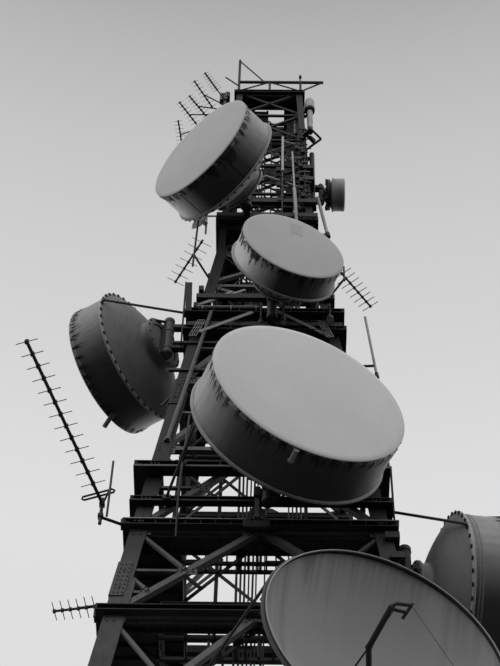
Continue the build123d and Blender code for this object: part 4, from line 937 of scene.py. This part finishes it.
patch = Mesh("drum_2_patch", M_PATCH, "radome")
patch.place = drum_place("drum_2")
drum2 = DRUMS["drum_2"]
PATCH_T, COLUMNS, ROWS = 0.0018, 6, 8


def on_radome(column, row):
    """A corner of the patch on the bulged radome."""
    x, z = -0.03 + 0.105 * column / COLUMNS, 0.17 + 0.19 * row / ROWS
    share = math.hypot(x, z) / (drum2.dia / 2)
    return V((x, -RADOME_T - drum2.dia * BULGE * (1 - share ** 2), z))


for i, j in product(range(COLUMNS), range(ROWS)):
    spots = [on_radome(i + dx, j + dz) for dx, dz in ((0, 0), (1, 0), (1, 1), (0, 1))]
    patch.prism(spots, [p - BACK * PATCH_T for p in spots])
patch.build()

# The open dish's bent feed pole with its double-bar head, base plate and thin guys
open_dish = DRUMS["open_dish"]
feed = Mesh("dish_feed_pole", M_MOUNT, "mount_steel", "open_dish_feed")
feed.place = drum_place("open_dish")
vertex = open_dish.shroud + DEPTH * open_dish.dia
FOOT, KNEE, ELBOW = V((0, vertex - 0.01, 0)), V((-0.127, 0.02, -0.082)), V((-0.112, -0.29, -0.03))
TIP, TIP_LOW = V((0.016, -0.29, 0.034)), V((-0.004, -0.24, -0.011))
LOWER = KNEE.lerp(ELBOW, 0.88)
FORK = LOWER + V((0.03, -0.01, 0.012))
feed.path([FOOT, FOOT.lerp(KNEE, 0.55), KNEE], 0.018, 14)
feed.path([KNEE, ELBOW], 0.019, 14)
feed.tube(KNEE.lerp(ELBOW, -0.03), KNEE.lerp(ELBOW, 0.05), 0.021, 16)
feed.path([ELBOW.lerp(KNEE, 0.02), ELBOW + V((0.02, -0.015, 0.012)), TIP], 0.012, 10)
feed.path([LOWER, FORK, TIP_LOW.lerp(TIP, 0.25)], 0.011, 10)
feed.tube(TIP + V((0.01, 0.0, 0.02)), TIP_LOW + V((-0.01, 0.015, -0.02)), 0.011)
feed.tube((0, vertex - 0.022, 0), (0, vertex - 0.004, 0), 0.07, 40)
for p in around(0.052, vertex - 0.022, 8):
    feed.bolt(p, -BACK, 0.007, 0.007)


def on_dish(x, z):
    """A point just in front of the dish's inner face."""
    rim = open_dish.dia / 2 - SHELL
    return (x, bowl_y(math.hypot(x, z), rim, open_dish.shroud, DEPTH * open_dish.dia) - 0.001, z)


feed.tube(TIP, on_dish(0.6, 0.02), 0.0016, 5)
feed.tube(FORK, KNEE, 0.0016, 5)
feed.tube(KNEE, on_dish(-0.2, -0.2), 0.006, 8)
feed.build()

# Small link drum at the top right: tapered back, light body, black ring and rough mount
LINK_AT, LINK_R, LINK_MAST = (0.766, -0.2, 19.262), 0.165, (0.534, -0.2)
small = Mesh("link_drum", M_RADOME_WORN, "shell", "small_drum")
small.place = aimed(LINK_AT, 0.0)
small.lathe(
    72,
    (M_RADOME_WORN, [(LINK_R, 0.004), (LINK_R - 0.004, -0.003), (LINK_R - 0.012, -0.006),
                     (LINK_R / 2, -0.009), (0.0, -0.01)]),
    (M_BACK_PALE, [(LINK_R, 0.004), (LINK_R + 0.002, 0.012), (LINK_R + 0.002, 0.026), (LINK_R, 0.03)]),
    (M_FLANGE, [(LINK_R, 0.03), (LINK_R, 0.106), (LINK_R + 0.009, 0.106), (LINK_R + 0.009, 0.118),
                (LINK_R, 0.118)]),
    (M_FLANGE, [(LINK_R, 0.118), (0.13, 0.134), (0.1, 0.146), (0.062, 0.16), (0.062, 0.196), (0.0, 0.196)]),
)
small.build()
mount = Mesh("link_drum_ring", M_MOUNT, "mount_steel")
mount.place = small.place
mount.revolve([(0.152, 0.14), (0.157, 0.146), (0.157, 0.166), (0.142, 0.17), (0.118, 0.166), (0.112, 0.152),
               (0.13, 0.138), (0.152, 0.14)], 48)
for a, b, head in zip(around(0.05, 0.185, 10), around(0.14, 0.156, 10), around(0.148, 0.168, 10)):
    mount.bar(a, b, 0.022, 0.016)
    mount.bolt(head, BACK, 0.012, 0.022)
mount.place = WORLD
x, y = LINK_MAST
for z in (19.132, 19.392):
    mount.beam(half(z) + 0.04, x, y, z, 0.05, 0.06)
    mount.pole(x, y, z - 0.035, z + 0.035, 0.034, 20)
    mount.bar((x, y, z), small.place @ V((0, 0.19, 0.06 if z > LINK_AT[2] else -0.06)), 0.035, 0.035)
mount.build()


# Yagi aerials: round booms and elements, a folded dipole, clamps and poles
def elements(mesh, tail, head, count, long, short, r, first=0.05, last=0.98, boom=0.009):
    """Slightly bent rods across a boom, each with a saddle clip. long, short: lengths of the end rods."""
    a, b = V(tail), V(head)
    run = (b - a).normalized()
    across = run.cross(UP).normalized()
    mesh.tube(a, b, boom)
    for i in range(count):
        share = first + (last - first) * i / (count - 1)
        c = a.lerp(b, share)
        reach = across * (long + (short - long) * share) / 2
        bend = UP * 0.004 * random.uniform(-1, 1)
        mesh.path([c - reach + bend, c, c + reach - bend], r, 6)
        mesh.bar(c - run * 0.01, c + run * 0.01, boom * 2.6, boom * 2.2)
    return a, b, run, across


large = Mesh("large_yagi_parts", M_ALU, "aluminium", "large_yagi")
tail, head = (-1.155, -1.059, 12.95), (-1.634, -2.474, 12.95)
a, b, run, across = elements(large, tail, head, 13, 0.19, 0.165, 0.0032, 0.13, 0.99, 0.0125)
# Folded dipole: a flat loop across the boom
middle, reach, gap = a.lerp(b, 0.05), across * 0.115, run * 0.03
near, far, bow = middle - reach, middle + reach, across * 0.012
large.path([near, near + gap / 2 - bow, near + gap, far + gap, far + gap / 2 + bow, far, near], 0.008, 10)
CLAMP_X, CLAMP_Y, MAST_X, MAST_Y = -half(Z_A) - 0.0653, -0.965, -1.158, -1.062
large.arm(CLAMP_X, CLAMP_Y - 0.035, CLAMP_Y + 0.035, Z_A, 0.052, 0.014)
large.tube((CLAMP_X, CLAMP_Y, Z_A), (MAST_X, MAST_Y, Z_A - 0.04), 0.012)
large.pole(MAST_X, MAST_Y, Z_A - 0.12, Z_A + 0.18, 0.013, 14)
large.tube((MAST_X, MAST_Y, Z_A + 0.1), (-1.09, -1.24, Z_A + 0.06), 0.008, 10)
large.pole(-1.09, -1.24, Z_A - 0.26, Z_A + 0.4, 0.0085, 10)
for z in (Z_A - 0.03, Z_A + 0.11):
    large.arm(MAST_X, MAST_Y - 0.02, MAST_Y + 0.02, z, 0.03, 0.04)
large.build()

group = Mesh("yagi_group_parts", M_ALU, "aluminium", "yagi_group")
POST = -0.47
group.pole(POST, POST, 20.28, 20.96, 0.016, 16)
for z in (20.36, 20.86):
    out = -half(z) - 0.046
    group.arm(out, out, half(z) + 0.04, z, 0.06, 0.012)
    group.beam(out, 0.1 - half(z), out, z, 0.06, 0.012)
    group.tube((POST, POST, z), (-half(z) - 0.02, 0.06 - half(z), z), 0.012)
    group.beam(POST - 0.025, POST + 0.025, POST, z, 0.04, 0.05)
BOOMS = (((-0.91, -0.12), (-0.95, -0.45)), ((-0.74, -0.32), (-0.94, -0.61)), ((-0.66, -0.39), (-0.84, -0.63)),
         ((-0.60, -0.44), (-0.79, -0.75)), ((-0.55, -0.59), (-0.68, -0.79)))
for i, (tail, head) in enumerate(BOOMS):
    z = 20.4 + 0.11 * i
    a, b, _, _ = elements(group, (*tail, z), (*head, z), 8, 0.115, 0.085, 0.0019, boom=0.0075)
    group.tube((POST, POST, z), a.lerp(b, 0.5), 0.007, 8)
group.build()

left = Mesh("left_yagi_parts", M_ALU, "aluminium", "left_yagi")
elements(left, (-0.574, -0.848, 17.2), (-0.836, -0.395, 17.2), 7, 0.2, 0.17, 0.0026)
left.tube((-0.66, -0.714, 16.96), (-0.64, -0.714, 17.79), 0.0095)
right = Mesh("right_yagi_parts", M_ALU, "aluminium", "right_yagi")
elements(right, (0.667, -0.76, 16.8), (0.95, -0.396, 16.8), 8, 0.2, 0.17, 0.0034)
right.pole(0.70, -0.718, 16.72, 16.96, 0.0095)
for mesh, side, z, pole_x, pole_y in ((left, -1, 17.16, -0.655, -0.714), (right, 1, 16.75, 0.70, -0.718)):
    x, y = side * half(z), -half(z)
    mesh.tube((x + side * 0.011, y + 0.04, z), (pole_x, pole_y, z), 0.01, 10)
    mesh.arm(x + side * 0.008, y + 0.065, y + 0.01, z, 0.06, 0.016)
    mesh.build()
lowest = Mesh("low_yagi_parts", M_ALU, "aluminium", "low_yagi")
elements(lowest, (-1.115, -1.005, 11.86), (-1.415, -0.956, 11.86), 6, 0.19, 0.16, 0.0034)
LOW_X = -half(Z_B) - 0.0583
lowest.arm(LOW_X - 0.006, -1.04, -0.98, Z_B, 0.052, 0.012)
lowest.pole(LOW_X - 0.01, -1.01, Z_B, 11.87, 0.0095)
lowest.tube((LOW_X - 0.01, -1.01, 11.862), (-1.25, -0.985, 11.862), 0.008, 10)
lowest.build()


# Horn on the right of the upper shaft: domed light cap, dark band, ribbed body and dark foot
def upright(x, y, z):
    """Axes of an upright round thing: its local Y points up."""
    return Matrix.Translation((x, y, z)) @ Matrix.Rotation(math.radians(90), 4, "X")


HORN_X, HORN_Y = 0.434, -0.305
horn = Mesh("side_horn_parts", M_WHIP, "shell", "side_horn")
horn.place = upright(HORN_X, HORN_Y, 0)
horn.lathe(
    32,
    (M_FLANGE, [(0.052, 20.98), (0.053, 21.11), (0.047, 21.165), (0.033, 21.205), (0.014, 21.22),
                (0.0, 21.222)]),
    (M_MOUNT, [(0.0, 20.93), (0.052, 20.93), (0.056, 20.98), (0.052, 20.98)]),
)
horn.lathe(
    24,
    (M_WHIP, [(0.031 if k % 2 else 0.027, 20.53 + k / 60) for k in range(25)]),
    (M_MOUNT, [(0.0, 20.44), (0.03, 20.44), (0.03, 20.53), (0.0, 20.53)]),
)
horn.place = WORLD
for z in (20.84, 20.95):
    horn.bar((half(z) + 0.004, HORN_Y + 0.02, z), (HORN_X - 0.02, HORN_Y, z), 0.02, 0.03)
plate_x = half(20.9) + 0.008
horn.arm(plate_x, HORN_Y - 0.045, HORN_Y + 0.035, 20.9, 0.12, 0.016)
horn.build()

# Bracket frame beside the front right leg, the dark post below it and the link drum's stay tube
brackets = Mesh("side_brackets", M_MOUNT, "mount_steel", "side_frame")
FRAME_Z, SIDE_Y, POST_X = 20.1, -0.3, 0.447
for x0, y0, x1, y1, wu, ww in (
    (0.33, -0.416, 0.436, -0.515, 0.019, 0.019),
    (0.436, -0.515, 0.542, -0.401, 0.019, 0.019),
    (0.542, -0.401, 0.385, -0.27, 0.019, 0.019),
    (0.385, -0.27, 0.33, -0.416, 0.019, 0.019),
    (0.344, -0.416, 0.439, -0.518, 0.022, 0.04),
    (0.39, -0.45, 0.47, -0.36, 0.014, 0.034),
):
    brackets.bar((x0, y0, FRAME_Z), (x1, y1, FRAME_Z), wu, ww)
brackets.bar((0.43, -0.43, FRAME_Z), (0.48, -0.36, FRAME_Z + 0.05), 0.02, 0.02)
brackets.pole(POST_X, SIDE_Y, 18.85, 19.95, 0.026, 16)
for z in (18.95, 19.45, 19.85):
    brackets.beam(half(z) - 0.01, POST_X, SIDE_Y, z, 0.04, 0.03)
brackets.use(M_WHIP)
brackets.tube((0.585, SIDE_Y, 18.26), (0.5, -0.25, 19.11), 0.0165, 14)
brackets.use(M_MOUNT)
brackets.tube((0.588, -0.301, 18.23), (0.582, -0.299, 18.3), 0.025, 14)
brackets.beam(half(Z_D) + 0.046, 0.586, SIDE_Y, Z_D, 0.03, 0.03)
brackets.bar((0.5, -0.25, 19.11), (*LINK_MAST, 19.11), 0.03, 0.03)
brackets.build()

# Equipment cases and junction boxes clamped to the upper shaft, each with a pale pipe in front
cases = Mesh("shaft_equipment", M_SHAFT, "mount_steel")
for x, y, z, w, d, h in (
    (0.27, -0.33, 19.35, 0.12, 0.06, 0.2),
    (0.32, -0.30, 19.05, 0.10, 0.08, 0.16),
    (0.2, -0.34, 18.75, 0.10, 0.06, 0.12),
    (-0.12, -0.3, 19.9, 0.1, 0.08, 0.22),
    (0.3, -0.27, 20.55, 0.09, 0.1, 0.3),
    (-0.2, -0.33, 18.95, 0.14, 0.06, 0.2),
    (-0.5, -0.44, 20.95, 0.06, 0.06, 0.16),
    (-0.45, -0.4, 21.1, 0.05, 0.05, 0.1),
):
    cases.post(x, y, z - h / 2, z + h / 2, w, d)
    cases.bar((x, y, z), (x * 0.97, max(y, 0.03 - half(z)) + 0.04, z), 0.03, 0.03)
    cases.use(M_PALE)
    cases.pole(x - w * 0.3, y - d / 2 - 0.006, z - h * 0.62, z + h * 0.55, 0.005, 8)
    cases.use(M_SHAFT)
# Equipment poles beside the right leg and in the middle, with clamps and short cross tubes at odd lengths
CLAMP_STEP = 0.11
for x, low, high in ((0.31, 18.45, 20.2), (0.37, 18.7, 20.35), (0.14, 18.6, 19.9)):
    cases.tube((x, -half(low) - 0.02, low), (x, -half(high) - 0.02, high), 0.011, 10)
    for i in range(int((high - low) / CLAMP_STEP)):
        z = low + 0.05 + CLAMP_STEP * i
        y = -half(z) - 0.02
        reach = random.uniform(0.03, 0.09)
        cases.use((M_SHAFT, M_SHAFT, M_BRACE, M_PALE)[int(random.uniform(0, 3.99))])
        end = (x + random.uniform(0.03, 0.07), y - 0.012, z + random.uniform(-0.03, 0.03))
        cases.tube((x - reach, y - 0.012, z), end, 0.007, 8)
        cases.use(M_SHAFT)
        cases.arm(x, y - 0.016, y + 0.03, z, 0.035, 0.04)
        if i % 3 == 0:
            cases.post(x - reach * 0.6, y - 0.02, z - 0.03, z + 0.04, 0.04, 0.03)
cases.build()

# Dark slatted panels that close much of the upper shaft
slat_panels = Mesh("shaft_slat_panels", M_SHAFT)
SLAT_STEP, PANEL_Y = 0.05, -0.136
SLAT_PANELS = ((-0.26, -0.02, 20.66, 21.28), (0.2, 0.3, 20.62, 21.28), (-0.04, 0.17, 19.59, 20.07),
         (0.19, 0.3, 19.3, 20.6))
for x0, x1, z0, z1 in SLAT_PANELS:
    for i in range(int((z1 - z0) / SLAT_STEP)):
        slat_panels.beam(x0, x1, PANEL_Y, z0 + SLAT_STEP * (i + 0.5), 0.046 if i % 3 else 0.03, 0.006)
    for x in (x0, x1):
        slat_panels.post(x, PANEL_Y + 0.006, z0, z1, 0.02, 0.02)
slat_panels.build()

# Pale pipes, struts and laced frames on the front, at the third walkway and on the upper shaft
RING_C_FACE = -half(Z_C) - 0.088
front = Mesh("front_struts", M_PALE)
for z, y in ((16.335, RING_C_FACE + 0.02), (16.385, RING_C_FACE + 0.05)):
    front.tube((-0.6, y, z), (-0.04, y, z), 0.0095)
    for x in (-0.55, -0.3, -0.08):
        front.post(x, y, 16.27, z, 0.012, 0.03)


def on_front(x, z, out):
    """A point this far outside the front of the tower."""
    return (x, -half(z) - out, z)


for x0, z0, x1, z1 in ((-0.385, 18.95, -0.016, 19.24), (-0.016, 19.24, 0.385, 18.95),
                       (0.14, 20.06, 0.35, 19.93)):
    front.tube(on_front(x0, z0, 0.006), on_front(x1, z1, 0.006), 0.011)
for x0, z0, x1, z1 in ((-0.55, 16.5, -0.185, 16.79), (-0.6, 16.47, -0.3, 16.75)):
    front.bar(on_front(x0, z0, 0.018), on_front(x1, z1, 0.018), 0.022, 0.012)
BELOW = -half(15.95) - 0.09
front.bar((-0.56, BELOW, 15.84), (-0.11, RING_C_FACE + 0.005, 16.222), 0.035, 0.008)
front.bar((0.06, BELOW, 16.222), (0.56, RING_C_FACE + 0.005, 15.84), 0.035, 0.008)
for x0, x1, side in ((-0.646, -0.578, 1), (0.592, 0.519, -1)):
    for k in range(4):
        shift = 0.02 * k * side
        front.bar((x0 + shift, -0.705, 15.8), (x1 + shift, -0.705, 16.05), 0.006, 0.008, RIGHT)
    for k in range(5):
        x = x0 + (x1 - x0) * k / 4
        front.beam(x, x + 0.06 * side, -0.709, 15.8 + 0.25 * k / 4, 0.006, 0.008)
front.build()

rods = Mesh("front_rods", M_BRACE)
# Long strut from the third walkway's ring to the left leg, and its clamp
rods.tube((-0.468, RING_C_FACE + 0.01, 16.235), (-0.742, -half(14.1) - 0.02, 14.08), 0.017, 16)
rods.bar((-0.74, -half(14.1) - 0.015, 14.1), (-0.76, -half(14.1) + 0.03, 14.1), 0.05, 0.05)
# Bent rod below it
rods.use(M_MOUNT)
rods.path([(-0.587, -0.80, 14.467), (-0.594, -0.93, 13.85), (-0.6, -0.985, 13.6), (-0.612, -1.008, 13.15),
           (-0.606, -1.02, 12.62)], 0.0085, 10)
# Clamp at the foot of the third drum's mast
rods.bar((-0.045, -1.015, 13.13), (0.06, -1.02, 13.13), 0.07, 0.06)
rods.post(-0.03, -1.03, 13.19, 13.09, 0.05, 0.05)
# Two level bars and a short bent rod at the left leg
for x0, x1, z in ((-0.782, -0.368, 15.758), (-0.794, -0.414, 15.262)):
    rods.bar(on_front(x0, z, 0.006), on_front(x1, z, 0.006), 0.026, 0.026)
rods.path([(-0.83, -0.7, 14.737), (-0.76, -0.71, 14.86), (-0.66, -half(14.967), 14.967)], 0.013, 10)
# Upright flat bar at the left end of the third walkway's ring
rods.use(M_SHAFT)
rods.bar((-0.668, RING_C_FACE - 0.004, 16.22), (-0.68, RING_C_FACE - 0.004, 16.7), 0.055, 0.006, RIGHT)
# Short post and splayed bracket that carry the clamp of the third drum's mast on the second walkway's ring
rods.use(M_BRACE)
rods.post(-0.03, -1.01, 12.86, 13.1, 0.034, 0.034)
rods.use(M_MOUNT)
for s in (-1, 1):
    rods.bar((-0.03 + 0.02 * s, -1.012, 12.98), (-0.03 + 0.085 * s, -1.012, 12.76), 0.03, 0.02, RIGHT)
rods.beam(-0.13, 0.07, -1.012, 12.79, 0.07, 0.016)
rods.build()

# Whip aerials: thin dark poles below, thicker pale glass fibre above
whips = Mesh("whip_poles", M_WHIP, "whip", "whip_antennas")
WHIP_Y = -half(Z_D) - 0.078
for x, low, x0, z0, x1, z1, r in (
    (0.143, 18.16, 0.146, 19.16, 0.146, 19.9, 0.0125),
    (0.283, 17.98, 0.282, 18.06, 0.262, 18.8, 0.017),
):
    whips.use(M_WHIP)
    whips.tube((x0, WHIP_Y, z0), (x1, WHIP_Y, z1), r, 16)
    whips.pole(x0, WHIP_Y, z0, z0 + 0.05, r + 0.003, 16)
    whips.use(M_MOUNT)
    whips.tube((x, WHIP_Y, low), (x0, WHIP_Y, z0 + 0.02), 0.0075)
    whips.arm(x0, WHIP_Y - 0.012, WHIP_Y + 0.03, Z_D, 0.04, 0.048)
whips.use(M_WHIP)
whips.tube((0.262, WHIP_Y, 18.8), (0.243, WHIP_Y, 19.57), 0.0095, 16)
SIDE_POLE_X = half(Z_C_LOW) + 0.0703
whips.tube((0.972, SIDE_Y, 15.83), (0.899, SIDE_Y, 16.78), 0.012, 16)
whips.use(M_MOUNT)
whips.tube((0.976, SIDE_Y, 15.79), (0.97, SIDE_Y, 15.86), 0.017, 16)
whips.tube((SIDE_POLE_X + 0.005, SIDE_Y, Z_C_LOW), (0.96, SIDE_Y, Z_C_LOW + 0.02), 0.012)
whips.beam(SIDE_POLE_X, SIDE_POLE_X + 0.016, SIDE_Y, Z_C_LOW, 0.05, 0.06)
whips.build()

# Floodlights: small bells on short stems in front of the third walkway's ring
floods = Mesh("floodlight_parts", M_MOUNT, "mount_steel", "floodlights")
FLOOD_Y = RING_C_FACE - 0.044
for x, z, r in ((-0.036, 15.94, 0.024), (0.16, 15.975, 0.028), (0.561, 16.01, 0.036)):
    floods.place = upright(x, FLOOD_Y, z)
    floods.lathe(
        28,
        (M_LAMP, [(r * 0.96, 0.003), (r * 0.6, 0.001), (0.0, 0.0)]),
        (M_MOUNT, [(r * 0.96, 0.003), (r, 0.0), (r, 0.012), (r * 0.8, 0.06), (r * 0.4, 0.09), (0.012, 0.1),
                   (0.0, 0.1)]),
    )
    floods.place = WORLD
    floods.pole(x, FLOOD_Y, z + 0.09, Z_C + 0.01, 0.007, 10)
    floods.arm(x, FLOOD_Y - 0.01, RING_C_FACE, Z_C, 0.05, 0.024)
floods.build()

# Sky: the camera sees a graded grey, the tower gets soft light from above
world = bpy.data.worlds.new("sky")
bpy.context.scene.world = world
world.use_nodes = True
world.node_tree.nodes.clear()


def world_node(kind):
    return world.node_tree.nodes.new("ShaderNode" + kind)


SKY_TONES = ((0.754, 0.735), (0.785, 0.745), (0.813, 0.71), (0.84, 0.658), (0.865, 0.617), (0.888, 0.558),
             (0.907, 0.479), (0.918, 0.413))
SKY_LIGHT, GROUND_LIGHT = 1.0, 0.05
height = Value(world_node("TexCoord").outputs["Generated"]).axes()[2]
seen, soft, blend = world_node("Background"), world_node("Background"), world_node("MixShader")
put(seen.inputs[0], height.ramp(*SKY_TONES))
put(soft.inputs[0], (height * 8.0 + 0.5).ramp((0.3, GROUND_LIGHT), (0.6, SKY_LIGHT)))
put(blend.inputs[0], Value(world_node("LightPath").outputs["Is Camera Ray"]))
put(blend.inputs[1], Value(soft.outputs[0]))
put(blend.inputs[2], Value(seen.outputs[0]))
put(world_node("OutputWorld").inputs[0], Value(blend.outputs[0]))

# Ground, light and camera
FLOOR_SIZE = 12.0
ground = bpy.data.meshes.new("floor")
ground.from_pydata([(x * FLOOR_SIZE, y * FLOOR_SIZE, -0.001) for x, y in SQUARE], [], [[0, 1, 2, 3]])
floor_look = Paint("floor")
put(floor_look.bsdf.inputs["Base Color"], 0.5)
put(floor_look.bsdf.inputs["Roughness"], 0.9)
ground.materials.append(floor_look.mat)
floor = bpy.data.objects.new("floor", ground)
bpy.context.scene.collection.objects.link(floor)

sun = bpy.data.lights.new("soft_sun", "SUN")
sun.energy = 0.35
sun.angle = 0.9
sun_ob = bpy.data.objects.new("soft_sun", sun)
sun_ob.rotation_euler = (math.radians(55), 0, math.radians(-35))
bpy.context.scene.collection.objects.link(sun_ob)

FOCAL_PIXELS, IMAGE_HEIGHT = 2083, 666
cam = bpy.data.cameras.new("camera")
cam.sensor_width = 36
cam.lens = FOCAL_PIXELS / IMAGE_HEIGHT * cam.sensor_width
cam.clip_end = 200
cam_ob = bpy.data.objects.new("camera", cam)
cam_right = V((0.999871, -0.000497, 0.016028))
cam_up = V((-0.009002, -0.844614, 0.535300))
cam_ahead = V((-0.013271, 0.535376, 0.844510))
cam_matrix = Matrix((cam_right, cam_up, -cam_ahead)).transposed().to_4x4()
cam_matrix.translation = V((0.111, -10.25, 0.8))
cam_ob.matrix_world = cam_matrix
bpy.context.scene.collection.objects.link(cam_ob)
bpy.context.scene.camera = cam_ob
bpy.context.scene.view_settings.view_transform = "Standard"
